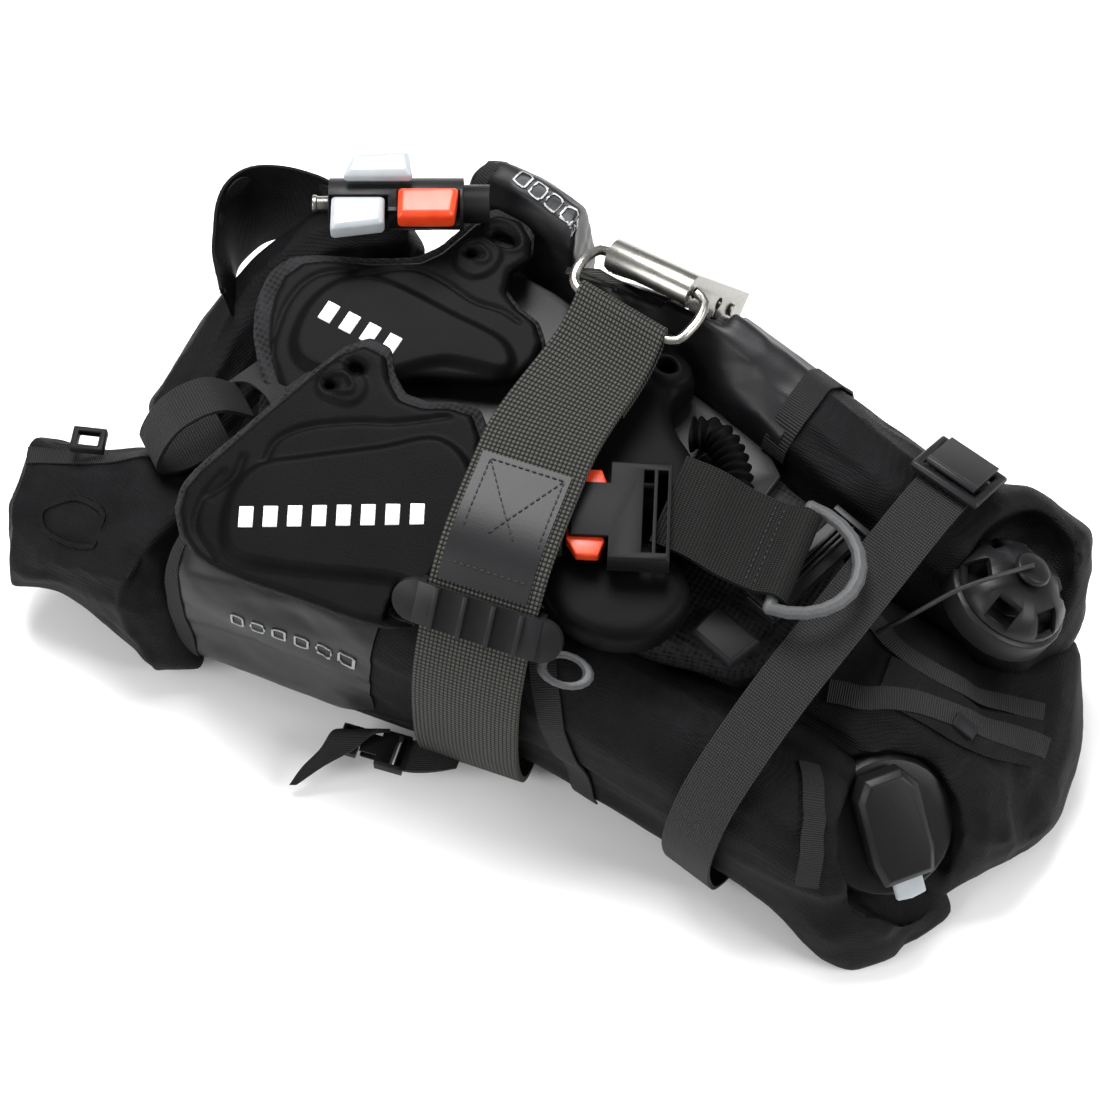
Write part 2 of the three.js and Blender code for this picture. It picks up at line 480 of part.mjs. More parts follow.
// ---------------------------------------------------------------- waist belt and D-ring
const beltFrame = frameAt(78, -3, 0, 8.8);
const ringFrame = frameAt(56, 0, 138, 0, beltFrame);
const beltSide = new THREE.Matrix4().makeBasis(
  new THREE.Vector3(1, 0, 0), new THREE.Vector3(0, 0, 1), new THREE.Vector3(0, -1, 0));
const beltRun = new THREE.CatmullRomCurve3([[0.5, 152], [14, 149], [30, 142], [50, 138]]
  .map(([x, z]) => new THREE.Vector3(x, z, 0)));
const beltEdge = (offset) => Array.from({ length: 13 }, (_, i) => {
  const at = beltRun.getPointAt(i / 12);
  const along = beltRun.getTangentAt(i / 12);
  return new THREE.Vector2(at.x - along.y * offset, at.y + along.x * offset);
});
const beltWeb = new THREE.ExtrudeGeometry(
  new THREE.Shape([...beltEdge(-WAIST.thickness / 2), ...beltEdge(WAIST.thickness / 2).reverse()]),
  { depth: WAIST.width, bevelEnabled: false }).translate(0, 0, -WAIST.width / 2).applyMatrix4(beltSide);
const EYE = { outer: 5.8, inner: RING.wire + 0.6 };
const socketRoom = box(60, 60, BUCKLE.thickness + 4, -30 + GAP, 0, 0);
group.updateMatrixWorld(true);
const belt = cut(
  join(beltWeb, rod(EYE.outer, WAIST.width, 'y', 56, 0, 138, 24)),
  rod(EYE.inner, WAIST.width + 4, 'y', 56, 0, 138, 24),
  inFrame(placed(socketRoom, waistFrame), beltFrame));
node('waist_belt', MATERIAL.webbing, largest(belt), beltFrame);

const ringBow = common(
  new THREE.TorusGeometry(RING.half, RING.wire, 8, 24).scale(RING.depth / RING.half, 1, 1),
  box(100, 100, 20, 50, 0, 0));
const ringCorners = [-1, 1].map((side) =>
  new THREE.SphereGeometry(RING.wire, 8, 6).translate(0, side * RING.half, 0));
node('d_ring', MATERIAL.greyRing,
  join(ringBow, rod(RING.wire, 2 * RING.half, 'y', 0, 0, 0, 8), ...ringCorners), ringFrame);

// Ribbed rail and clip of the weight pocket that shows through the D-ring.
const railFrame = frameAt(138, 16, CUSHION_TOP + 1, -14);
const railRibs = [-2.5, 0, 2.5].map((y) => box(1.4, 56, 2.2, y, 0, 7));
const railEnds = [-1, 1].map((side) => box(20, 3, 4, 0, side * 29, 7.4));
node('weight_rail', MATERIAL.framePlastic, join(box(16, 62, 6, 0, 0, 3), ...railRibs, ...railEnds), railFrame);
node('weight_clip', MATERIAL.framePlastic,
  plate([[-12, -10], [12, -10], [13, 8], [-13, 8]], 8, { bevel: 1.5 }), frameAt(124, -33, CUSHION_TOP + 1, -14));

// ---------------------------------------------------------------- cinch buckle: ladder lock with lever
const cinchBuckleFrame = frameAt(0, 84, 129, 0, cinchFrame);
cinchBuckleFrame.rotation.x = radians(-24);
const ladder = cut(
  plate([[-18, -15], [18, -15], [18, 15], [-18, 15]], 4, { bevel: 1 }),
  box(28, 6, 12, 0, -7.5, 2), box(28, 6, 12, 0, 6, 2));
node('cinch_buckle', MATERIAL.framePlastic, ladder.translate(0, 0, 2), cinchBuckleFrame);
node('cinch_lever', MATERIAL.framePlastic,
  join(box(26, 22, 2.4, 0, 11, 1.6), rod(1.8, 26, 'x', 0, 0, 1.8, 12)),
  frameAt(0, -10, 6.6, 0, cinchBuckleFrame));

// ---------------------------------------------------------------- rear dump valve with its pull cord
const lathe = (profile, segments = 30) =>
  new THREE.LatheGeometry(profile.map(([radius, height]) => new THREE.Vector2(radius, height)), segments)
    .rotateX(Math.PI / 2);
const rearBase = lathe([[0, -VALVE_SINK], [REAR_VALVE.radius, -VALVE_SINK], [REAR_VALVE.radius, 1.5],
  [26, 3], [14, 3], [14, -4], [0, -4]]);
node('rear_valve_base', MATERIAL.framePlastic, rearBase, rearFrame);
const domeShell = lathe([[24, 3 + GAP], [27, 3 + GAP], [26, 8], [21, 14], [13, 17.5], [6, 18.5], [6, 16], [12, 15],
  [19, 11.5], [23.4, 7], [24, 3 + GAP]]);
const domeWindows = Array.from({ length: 6 }, (_, i) =>
  box(11, 12, 10, 23, 0, 10.5).rotateZ((i + 0.5) * Math.PI / 3));
node('rear_valve_dome', MATERIAL.framePlastic, cut(domeShell, ...domeWindows), rearFrame);
node('rear_valve_knob', MATERIAL.framePlastic, lathe([[0, -2.5], [11, -2.5], [11, 0], [3.6, 0.6], [3.6, 19.5],
  [8, 20], [9, 21.5], [8, 23.5], [4, 24.5], [0, 24.5]], 28), rearFrame);
const coil = Array.from({ length: 37 }, (_, i) => {
  const angle = i * 2 * Math.PI / 12;
  return [5.4 * Math.cos(angle), 5.4 * Math.sin(angle), 9.2 + 4.6 * i / 36];
});
node('rear_valve_spring', MATERIAL.steel, tube(coil, 0.6, 42, 5), rearFrame);

group.updateMatrixWorld(true);
const CORD_RUN = [[225, 64.5, 124.2], [214, 50, 127], [202, 36, 125], [190, 23, 113], [177, 12, 98]];
const cordSolid = tube(CORD_RUN, CORD_RADIUS, 16, 6);
node('pull_cord', MATERIAL.hose, cordSolid);

// ---------------------------------------------------------------- hip dump valve with its release tab
node('hip_valve_base', MATERIAL.framePlastic, lathe([[0, -VALVE_SINK], [HIP_VALVE.radius, -VALVE_SINK],
  [HIP_VALVE.radius, 2], [31, 4.5], [24, 5], [0, 5]]), hipFrame);
const coverFrame = frameAt(0, 0, 5 + GAP, -38, hipFrame);
node('hip_valve_cover', MATERIAL.framePlastic, cut(
  plate([[-29, -9], [-20, -15], [10, -15], [22, -12], [22, 12], [10, 15], [-20, 15], [-29, 9]], 15, { bevel: 3 }),
  box(16, 17, 6, 17, 0, 7)), coverFrame);
node('hip_valve_tab', MATERIAL.grey,
  plate([[9.6, -7], [31, -7], [32, 0], [31, 7], [9.6, 7]], 4.6, { bevel: 0.8 }).translate(0, 0, 4.7), coverFrame);

// ---------------------------------------------------------------- zipped pocket panel on the valve end
const pocketOutline = [[196, -10], [236, -14], [262, 4], [256, 22], [214, 16], [192, 8]];
const pocketSkin = cut(softForm(END_FOLD, { square: 3, grow: 2.6 }), endRoom);
node('zip_pocket', MATERIAL.shellFabric, largest(cut(
  common(pocketSkin, plate(pocketOutline, 200).translate(0, 0, 20)), nearLobeRoom, farLobeRoom, rearSeat, hipSeat,
  outsideCinch)));

// ---------------------------------------------------------------- inflator and its corrugated hose
const inflatorFrame = frameAt(-106, 62, 152, 31);
const inflatorBody = join(rod(12, 62, 'x', 0, 6, 0, 28), box(40, 12, 16, -4, 2, 1), rod(9, 14, 'x', 36, 6, 0, 24));
const inflatorShell = cut(inflatorBody, box(27, 16, 16, -17, -5, 6), box(29, 17, 16, 15, -3, 8), rod(4.5, 12, 'x', -30, 6, 0));
node('inflator_body', MATERIAL.framePlastic, inflatorShell, inflatorFrame);
node('inflate_button', MATERIAL.grey,
  plate([[-29.5, -16], [-5, -12.6], [-5, 2.4], [-29.5, 2.4]], 11, { bevel: 2 }).translate(0, 0, 2), inflatorFrame);
node('deflate_button', MATERIAL.orange,
  plate([[1.2, -11], [27, -11], [29, 4.9], [1.2, 4.9]], 12, { bevel: 2 }).translate(0, 0, 4), inflatorFrame);
node('mouthpiece', MATERIAL.grey, plate([[-24, 6], [8, 6], [6, 20], [-20, 18]], 9, { bevel: 2.5 })
  .translate(0, 2, 12.6), inflatorFrame);
node('inflator_nipple', MATERIAL.steel, join(rod(3.6, 14, 'x', -32, 6, 0), rod(4.2, 2, 'x', -38, 6, 0)), inflatorFrame);

group.updateMatrixWorld(true);
const hoseShown = [[62, 40, 131], [78, 44, 133], [94, 30, 130], [98, 12, 128], [92, -4, 127], [82, -14, 126]];
node('corrugated_hose', MATERIAL.hose, largest(cut(tube(hoseShown, HOSE_RADIUS * 0.8, 14, 12),
  box(300, 300, 60, 0, 0, PLATE.bottom + PLATE.thickness + GAP - 30),
  plate(HIP_FAR, 30, { smooth: true }).translate(0, 0, 118), plate(HIP_NEAR, 30, { smooth: true }).translate(0, 0, 118))));

// ---------------------------------------------------------------- loose webbing and small hardware
const loopFrame = frameAt(-144, -58, 0, -32);
node('grab_loop', MATERIAL.webbing, cut(
  strapRun([[26, 104], [10, 122], [-14, 116], [-24, 92], [-6, 84], [14, 88]], 2, 20), collarRoom, cornerRoom), loopFrame);

node('flap_clip', MATERIAL.framePlastic, cut(box(16, 12, 5), box(10, 7, 9)), frameAt(-190, -82, 82.5, 24));

const sideFrame = frameAt(8, -120, 20, 14);
const SIDE_BUCKLE = { length: 22, half: 9, thickness: 8 };
node('side_buckle_socket', MATERIAL.framePlastic,
  buckleSocket(SIDE_BUCKLE.length, SIDE_BUCKLE.half, SIDE_BUCKLE.thickness), sideFrame);
node('side_buckle_plug', MATERIAL.framePlastic,
  bucklePlug(SIDE_BUCKLE.length, SIDE_BUCKLE.half, SIDE_BUCKLE.thickness), sideFrame);

node('snap_ring', MATERIAL.greyRing,
  new THREE.TorusGeometry(9, 2.2, 6, 18).scale(1.2, 0.8, 1), frameAt(72, -84, 118, 10));
const sliderFrame = frameAt(230, 0, 79);
sliderFrame.rotation.y = radians(25);
node('zip_slider', MATERIAL.framePlastic, box(12, 7, 4), sliderFrame);

export default group;
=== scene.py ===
# A diver's buoyancy vest, folded into a travel bundle that its own tank band holds shut.
import math

import bmesh
import bpy
import numpy as np
from mathutils import Matrix, Vector, noise
from mathutils.bvhtree import BVHTree


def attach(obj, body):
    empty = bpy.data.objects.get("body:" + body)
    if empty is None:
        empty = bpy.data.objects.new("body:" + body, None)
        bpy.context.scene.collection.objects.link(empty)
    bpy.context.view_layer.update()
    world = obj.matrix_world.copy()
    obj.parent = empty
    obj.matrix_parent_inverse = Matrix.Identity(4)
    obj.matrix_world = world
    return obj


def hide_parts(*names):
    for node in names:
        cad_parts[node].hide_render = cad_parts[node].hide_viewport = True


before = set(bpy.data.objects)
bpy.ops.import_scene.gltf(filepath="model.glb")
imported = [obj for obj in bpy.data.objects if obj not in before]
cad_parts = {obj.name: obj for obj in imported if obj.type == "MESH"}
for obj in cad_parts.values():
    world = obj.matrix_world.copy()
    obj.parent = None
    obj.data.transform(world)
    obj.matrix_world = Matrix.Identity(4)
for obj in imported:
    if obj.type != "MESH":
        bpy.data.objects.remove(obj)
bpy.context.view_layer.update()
bpy.ops.object.select_all(action="DESELECT")

# ---------------------------------------------------------------- studio
# The bundle lies on a pale floor in a pale room, and is seen from high on its near side.
CAMERA_AT = Vector((0.3343, -0.5331, 1.2078))
LOOKS_AT = Vector((0.020, -0.010, 0.060))
LENS_MM, SENSOR_MM = 90.5, 36
bpy.ops.object.camera_add(location=CAMERA_AT,
                          rotation=(LOOKS_AT - CAMERA_AT).to_track_quat("-Z", "Y").to_euler())
camera = bpy.context.object
camera.data.lens = LENS_MM
camera.data.sensor_width = SENSOR_MM
bpy.context.scene.camera = camera


def linear(colour):
    """A colour written as sRGB hex, as the linear values that a shader reads."""
    channels = [int(colour[i : i + 2], 16) / 255 for i in (1, 3, 5)]
    return [c / 12.92 if c <= 0.04045 else ((c + 0.055) / 1.055) ** 2.4 for c in channels] + [1]


def add_node(tree, kind, links=None, **settings):
    """A node with its settings; links gives its sockets a value, or another node's output."""
    made = tree.nodes.new(kind)
    for name, value in settings.items():
        setattr(made, name, value)
    for socket, value in (links or {}).items():
        if isinstance(value, bpy.types.NodeSocket):
            tree.links.new(value, made.inputs[socket])
        else:
            made.inputs[socket].default_value = value
    return made


def finish(name, colour, roughness, **sockets):
    """A new material with its shader's plain values; its pattern is added by the section that makes it."""
    made = bpy.data.materials.new(name)
    made.use_nodes = True
    shader = made.node_tree.nodes["Principled BSDF"]
    shader.inputs["Base Color"].default_value = linear(colour)
    shader.inputs["Roughness"].default_value = roughness
    for socket, value in sockets.items():
        shader.inputs[socket.replace("_", " ")].default_value = value
    made.diffuse_color = linear(colour)
    return made, made.node_tree, shader


FLOOR_SIZE, FLOOR_DROP, ROOM_LIGHT = 12, 0.0006, 0.4
bpy.ops.mesh.primitive_plane_add(size=FLOOR_SIZE, location=(0, 0, -FLOOR_DROP))
floor = bpy.context.object
floor.name = "floor"
floor_paint, tree, shader = finish("white_floor_paint", "#f6f6f6", 0.7)
floor.data.materials.append(floor_paint)

world = bpy.data.worlds.new("studio")
bpy.context.scene.world = world
world.use_nodes = True
background = world.node_tree.nodes["Background"]
background.inputs["Color"].default_value = (1, 1, 1, 1)
background.inputs["Strength"].default_value = ROOM_LIGHT
bpy.context.scene.view_settings.view_transform = "Standard"
for name, at, size, power in (
    ("top_light", (-0.6, 0.6, 1.7), 0.9, 52),
    ("side_light", (1.6, 0.3, 1.2), 0.8, 22),
    ("near_light", (-0.7, -1.4, 1.1), 0.9, 18),
):
    bpy.ops.object.light_add(type="AREA", location=at,
                             rotation=(-Vector(at)).to_track_quat("-Z", "Y").to_euler())
    lamp = bpy.context.object
    lamp.name = name
    lamp.data.size = size
    lamp.data.energy = power

# ---------------------------------------------------------------- wing: the folded lobes, end, corner, collar
# The air wing is polyurethane-coated nylon, folded round itself and squeezed by the straps. Each folded
# part is one closed form here: a slack skin blown up a little, so that it wrinkles where it is held.
MM = 0.001
WELD = 0.00005  # corners nearer than this are one corner


def choose(piece):
    """Only this piece is selected and active, for the operators."""
    bpy.ops.object.select_all(action="DESELECT")
    piece.select_set(True)
    bpy.context.view_layer.objects.active = piece


def apply_all(piece):
    """Makes the piece's modifiers part of its mesh."""
    choose(piece)
    for modifier in list(piece.modifiers):
        bpy.ops.object.modifier_apply(modifier=modifier.name)


def modify(piece, kind, **settings):
    """Adds one modifier with its settings, and applies it."""
    choose(piece)
    bpy.ops.object.modifier_add(type=kind)
    for name, value in settings.items():
        setattr(piece.modifiers[-1], name, value)
    apply_all(piece)


def copy_of(node, name):
    """A welded copy of a frame node, with whole flat faces, for shaping."""
    made = bpy.data.objects.new(name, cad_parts[node].data.copy())
    bpy.context.scene.collection.objects.link(made)
    made.data.materials.clear()
    shape = bmesh.new()
    shape.from_mesh(made.data)
    bmesh.ops.remove_doubles(shape, verts=shape.verts, dist=WELD)
    shape.to_mesh(made.data)
    shape.free()
    choose(made)
    return made


def voxels(piece, size):
    """The piece as an even net of quads."""
    piece.data.remesh_voxel_size = size
    choose(piece)
    bpy.ops.object.voxel_remesh()


def coordinates(piece):
    """The piece's vertices as an array of metres."""
    at = np.empty(len(piece.data.vertices) * 3, dtype=np.float32)
    piece.data.vertices.foreach_get("co", at)
    return at.reshape(-1, 3).astype(np.float64)


def normals(piece):
    """The piece's vertex normals, in the same order."""
    out = np.empty(len(piece.data.vertices) * 3, dtype=np.float32)
    piece.data.vertices.foreach_get("normal", out)
    return out.reshape(-1, 3).astype(np.float64)


def put(piece, at):
    """Moves the piece's vertices to these places."""
    piece.data.vertices.foreach_set("co", at.astype(np.float32).ravel())
    piece.data.update()


def grab(piece, at, by, reach):
    """Pulls the skin near a point along, less the further off it lies, as a held corner does."""
    place, falloff = coordinates(piece), 1.6
    away = np.linalg.norm(place - np.array(at) * MM, axis=1) / (reach * MM)
    put(piece, place + np.clip(1 - away, 0, 1)[:, None] ** falloff * np.array(by) * MM)


def creases(piece, grain, depth, seed):
    """Soft folds in the skin; grain is how many there are to a metre along x, y and z."""
    place, out = coordinates(piece), normals(piece)
    sharp, ridge, finer = 0.6, 0.4, 2.1
    lift = np.array([
        noise.noise(Vector((p[0] * grain[0] + seed, p[1] * grain[1], p[2] * grain[2]))) + 0.5 * noise.noise(
            Vector((p[0] * grain[0] * finer, p[1] * grain[1] * finer + seed, p[2] * grain[2] * finer)))
        for p in place])
    lift = sharp * (ridge - np.abs(lift)) + (1 - sharp) * lift
    put(piece, place + out * lift[:, None] * depth * MM)


# Coated nylon cloth, 420 denier: near black, with dull light on its folds, and a plain weave whose threads
# are drawn at 1 mm, about twice their real spacing, so that they show.
WAVE_FIT = 0.314  # a wave texture repeats every this many metres, over its scale
nylon, tree, shader = finish("coated_nylon_cloth", "#0e0e0f", 0.58, Specular_IOR_Level=0.09)


def weave_on_object(tree, shader, pitch, depth, wrinkle):
    """Crossed threads over a slower unevenness of the cloth, as bump; returns the unevenness."""
    place = add_node(tree, "ShaderNodeTexCoord")
    threads = None
    for axis in "XYZ":
        wave = add_node(tree, "ShaderNodeTexWave", {"Vector": place.outputs["Object"], "Scale": WAVE_FIT / pitch,
                        "Distortion": 0.8, "Detail": 1.0, "Detail Scale": 1.5}, bands_direction=axis)
        threads = wave.outputs["Fac"] if threads is None else add_node(
            tree, "ShaderNodeMath", {0: threads, 1: wave.outputs["Fac"]}, operation="ADD").outputs[0]
    soft = add_node(tree, "ShaderNodeTexNoise", {"Vector": place.outputs["Object"], "Scale": 70.0, "Detail": 4.0})
    slow = add_node(tree, "ShaderNodeBump",
                    {"Height": soft.outputs["Fac"], "Strength": wrinkle, "Distance": 3 * MM})
    fine = add_node(tree, "ShaderNodeBump", {"Height": threads, "Strength": depth, "Distance": pitch * 0.35,
                    "Normal": slow.outputs["Normal"]})
    tree.links.new(fine.outputs["Normal"], shader.inputs["Normal"])
    return soft.outputs["Fac"]


def shade_between(tree, shader, factor, dark, light, low=0.3, high=0.7):
    """Lets the colour wander between two shades with a pattern."""
    ramp = add_node(tree, "ShaderNodeValToRGB", {"Fac": factor})
    ramp.color_ramp.elements[0].position, ramp.color_ramp.elements[0].color = low, linear(dark)
    ramp.color_ramp.elements[1].position, ramp.color_ramp.elements[1].color = high, linear(light)
    tree.links.new(ramp.outputs["Color"], shader.inputs["Base Color"])


uneven = weave_on_object(tree, shader, 1.0 * MM, 0.4, 0.25)
shade_between(tree, shader, uneven, "#0a0a0b", "#111113")


def belongs(piece, body, nodes, material):
    """The piece gets its finish, moves with a body, and stands for frame nodes."""
    piece.data.materials.clear()
    piece.data.materials.append(material)
    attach(piece, body)
    if nodes:
        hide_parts(*nodes)


def slack_skin(node, voxel, slack, cap):
    """A folded part of the wing: a skin with spare cloth, blown up a little; no place moves more than the cap."""
    piece = copy_of(node, node + "_cloth")
    voxels(piece, voxel)
    home = coordinates(piece)
    start_inside, blow_up_frames = 1.5 * MM, 16
    put(piece, home - normals(piece) * start_inside)
    choose(piece)
    bpy.ops.object.modifier_add(type="CLOTH")
    cloth = piece.modifiers[-1].settings
    cloth.quality = 5
    cloth.mass = 0.15
    cloth.tension_stiffness = cloth.compression_stiffness = 18
    cloth.bending_stiffness = 0.6
    cloth.shrink_min = -slack
    cloth.use_pressure = True
    cloth.uniform_pressure_force = 3
    cloth.effector_weights.gravity = 0
    for step in range(blow_up_frames):
        bpy.context.scene.frame_set(step + 1)
    apply_all(piece)
    bpy.context.scene.frame_set(1)
    away = coordinates(piece) - home
    far = np.linalg.norm(away, axis=1, keepdims=True)
    put(piece, home + away * np.minimum(1, cap * MM / np.maximum(far, 1e-9)))
    modify(piece, "SUBSURF", levels=1, render_levels=1)
    belongs(piece, "bundle", [node], nylon)
    return piece


def settle(piece):
    """Nothing of the piece goes under the floor, and it is shaded smooth."""
    place, floor_gap = coordinates(piece), 0.2 * MM
    place[:, 2] = np.maximum(place[:, 2], floor_gap)
    put(piece, place)
    choose(piece)
    bpy.ops.object.shade_smooth()


near_lobe = slack_skin("near_lobe", 4.5 * MM, 0.06, 5)
far_lobe = slack_skin("far_lobe", 4.5 * MM, 0.05, 3)
end_fold = slack_skin("end_fold", 4 * MM, 0.09, 3.5)
wing_corner = slack_skin("wing_corner", 4 * MM, 0.07, 4)
wing_collar = slack_skin("wing_collar", 4 * MM, 0.07, 5)

# The folded end is held out to its corners, and the near lobe and the wing's corner end in a tip.
grab(far_lobe, (238, 92, 74), (-4, 15, 17), 50)
grab(far_lobe, (262, 62, 34), (-4, 10, 4), 50)
grab(far_lobe, (205, 92, 92), (0, 12, 14), 46)
grab(end_fold, (262, 52, 26), (-6, 22, 24), 56)
grab(end_fold, (246, 40, 40), (0, 22, 20), 46)
grab(end_fold, (262, 62, 36), (-9, 6, 10), 42)
grab(end_fold, (276, 30, 10), (0, 2, -10), 34)
grab(end_fold, (262, 0, 40), (4, -12, -10), 60)
grab(near_lobe, (226, -88, 14), (8, -14, -14), 56)
grab(near_lobe, (232, -60, 8), (26, 10, -8), 50)
grab(end_fold, (232, -36, 18), (14, -22, -12), 46)
grab(wing_corner, (-212, -104, 66), (-2, 8, 4), 40)
grab(wing_corner, (-204, -134, 40), (4, -6, -12), 46)
grab(wing_corner, (-160, -84, 78), (4, 10, 12), 50)
grab(wing_corner, (-150, -136, 12), (10, 0, -10), 50)
grab(wing_corner, (-128, -128, 30), (24, -2, -14), 50)

creases(near_lobe, (9, 34, 34), 5.5, 3.1)
creases(near_lobe, (34, 60, 60), 1.3, 8.1)
creases(far_lobe, (10, 30, 30), 3.5, 1.7)
creases(far_lobe, (40, 60, 60), 1.0, 5.5)
creases(end_fold, (20, 26, 30), 4, 6.4)
creases(wing_corner, (22, 30, 24), 6, 2.2)
creases(wing_collar, (26, 9, 22), 5, 4.9)
for piece in (near_lobe, far_lobe, end_fold, wing_corner, wing_collar):
    settle(piece)

# ---------------------------------------------------------------- coated side panels, seams and tapes
# Each lobe has a smooth coated panel, edged with sewn binding tape and printed with thin outlined dashes.
# The panels, tapes and threads are strips of cloth that lie on the lobes, so each is made to follow them.


def skin_of(*pieces):
    """The surface that strips are laid on."""
    corners, faces, start = [], [], 0
    for piece in pieces:
        corners += [v.co.copy() for v in piece.data.vertices]
        faces += [[start + i for i in p.vertices] for p in piece.data.polygons]
        start = len(corners)
    return BVHTree.FromPolygons(corners, faces)


def run_through(points, spacing, closed=False):
    """Evenly spaced places on a smooth run through the points, in metres."""
    at = [Vector(p) * MM for p in points]
    ends = [at[-1]] + at + [at[0], at[1]] if closed else [2 * at[0] - at[1]] + at + [2 * at[-1] - at[-2]]
    fine, per_span = [], 24
    for i in range(1, len(ends) - 2):
        a, b, c, d = ends[i - 1 : i + 3]
        for step in range(per_span):
            t = step / per_span
            fine.append(0.5 * (2 * b + (c - a) * t + (2 * a - 5 * b + 4 * c - d) * t * t
                               + (3 * b - a - 3 * c + d) * t ** 3))
    fine.append(at[0].copy() if closed else at[-1].copy())
    far = [0.0]
    for a, b in zip(fine, fine[1:]):
        far.append(far[-1] + (b - a).length)
    count = max(3, round(far[-1] / (spacing * MM)))
    out, i = [], 0
    for step in range(count + 1):
        want = far[-1] * step / count
        while i < len(far) - 2 and far[i + 1] < want:
            i += 1
        out.append(fine[i].lerp(fine[i + 1], (want - far[i]) / max(far[i + 1] - far[i], 1e-9)))
    return out, far[-1]


def strip(name, run, length, width, thick, place_at, rows):
    """Webbing, tape or a panel: a grid laid along a run, with its own length and width in metres as its UV map."""
    bpy.ops.mesh.primitive_grid_add(x_subdivisions=len(run) - 1, y_subdivisions=rows, size=1)
    piece = bpy.context.object
    piece.name = name
    layer = piece.data.uv_layers.active.data
    for loop in piece.data.loops:
        at = piece.data.vertices[loop.vertex_index].co
        layer[loop.index].uv = ((at.x + 0.5) * length, (at.y + 0.5) * width * MM)
    for vertex in piece.data.vertices:
        i, across = round((vertex.co.x + 0.5) * (len(run) - 1)), vertex.co.y * width * MM
        vertex.co = place_at(i, across)
    if thick:
        modify(piece, "SOLIDIFY", thickness=thick * MM, offset=0)
    choose(piece)
    bpy.ops.object.shade_smooth_by_angle(angle=math.radians(50))
    return piece


def laid_strip(name, points, width, onto, lift, thick=0.6, spacing=3, rows=6):
    """A strip that lies on a surface, along the points near it."""
    run, length = run_through(points, spacing)
    lie = np.empty((len(run), rows + 1, 3))
    for i, at in enumerate(run):
        here, out = onto.find_nearest(at)[:2]
        ahead = (run[min(i + 1, len(run) - 1)] - run[max(i - 1, 0)]).normalized()
        side = out.cross(ahead).normalized()
        for j in range(rows + 1):
            spot, facing = onto.find_nearest(here + side * (j / rows - 0.5) * width * MM)[:2]
            lie[i, j] = spot + facing * lift * MM
    for _ in range(3):  # the strip bridges the small folds under it
        lie[1:-1] = (lie[:-2] + 2 * lie[1:-1] + lie[2:]) / 4
        lie[:, 1:-1] = (lie[:, :-2] + 2 * lie[:, 1:-1] + lie[:, 2:]) / 4
    return strip(name, run, length, width, thick,
                 lambda i, across: Vector(lie[i, round((across / (width * MM) + 0.5) * rows)]), rows)


def thread_row(name, rows, step, onto, lift, long, thick):
    """Sewing threads in rows along points near a surface: one short thread, copied for every stitch."""
    bpy.ops.mesh.primitive_uv_sphere_add(segments=6, ring_count=4, radius=1)
    piece = bpy.context.object
    piece.name = name
    piece.data.transform(Matrix.Diagonal((thick * MM, thick * MM, long / 2 * MM, 1)))
    every = bmesh.new()
    for points in rows:
        run, _ = run_through(points, step)
        for i in range(len(run) - 1):
            here, out = onto.find_nearest((run[i] + run[i + 1]) / 2)[:2]
            ahead = (run[i + 1] - run[i]).normalized()
            ahead = (ahead - out * ahead.dot(out)).normalized()
            side = out.cross(ahead)
            turn = Matrix((side, out, ahead)).transposed().to_4x4()
            turn.translation = here + out * lift * MM
            stitch = piece.data.copy()
            stitch.transform(turn)
            every.from_mesh(stitch)
            bpy.data.meshes.remove(stitch)
    every.to_mesh(piece.data)
    every.free()
    choose(piece)
    bpy.ops.object.shade_smooth()
    return piece


def grained(tree, shader, scale, strength, distance, detail=2.0):
    """The fine grain of a coated or moulded surface, as bump; returns the grain."""
    place = add_node(tree, "ShaderNodeTexCoord")
    grain = add_node(tree, "ShaderNodeTexNoise",
                     {"Vector": place.outputs["Object"], "Scale": scale, "Detail": detail}).outputs["Fac"]
    bump = add_node(tree, "ShaderNodeBump", {"Height": grain, "Strength": strength, "Distance": distance})
    tree.links.new(bump.outputs["Normal"], shader.inputs["Normal"])
    return grain


def clouded(tree, shader, scale, dark, light, detail=2.0):
    """A surface that is nearly even: its colour wanders between two close shades."""
    place = add_node(tree, "ShaderNodeTexCoord")
    clouds = add_node(tree, "ShaderNodeTexNoise",
                      {"Vector": place.outputs["Object"], "Scale": scale, "Detail": detail})
    shade_between(tree, shader, clouds.outputs["Fac"], dark, light)


# The coated panels are calendered polyurethane on nylon: smooth, semi-matt, with a faint orange peel.
coated, tree, shader = finish("calendered_polyurethane", "#19191b", 0.42, Specular_IOR_Level=0.25)
grained(tree, shader, 900.0, 0.12, 0.4 * MM)
clouded(tree, shader, 30.0, "#151517", "#1c1c1e", 3.0)

# Binding tape is a fine ribbed nylon ribbon, a shade lighter than the cloth, with ribs 1.2 mm apart.
tape, tree, shader = finish("ribbed_binding_tape", "#1c1c1d", 0.7, Specular_IOR_Level=0.2)
ribs_at = add_node(tree, "ShaderNodeUVMap")
ribs = add_node(tree, "ShaderNodeTexWave", {"Vector": ribs_at.outputs["UV"], "Scale": WAVE_FIT / (1.2 * MM)},
                bands_direction="X")
bump = add_node(tree, "ShaderNodeBump", {"Height": ribs.outputs["Fac"], "Strength": 0.8, "Distance": 0.4 * MM})
tree.links.new(bump.outputs["Normal"], shader.inputs["Normal"])
# The colour is painted lighter on the rib crests and darker between them: painted highlight and painted shade.
shade_between(tree, shader, ribs.outputs["Fac"], "#121213", "#232324", 0.2, 0.8)

# Bonded polyester sewing thread, black, a little glossier than the cloth.
thread, tree, shader = finish("bonded_sewing_thread", "#242425", 0.5, Specular_IOR_Level=0.3)
clouded(tree, shader, 1500.0, "#1b1b1c", "#2c2c2e")

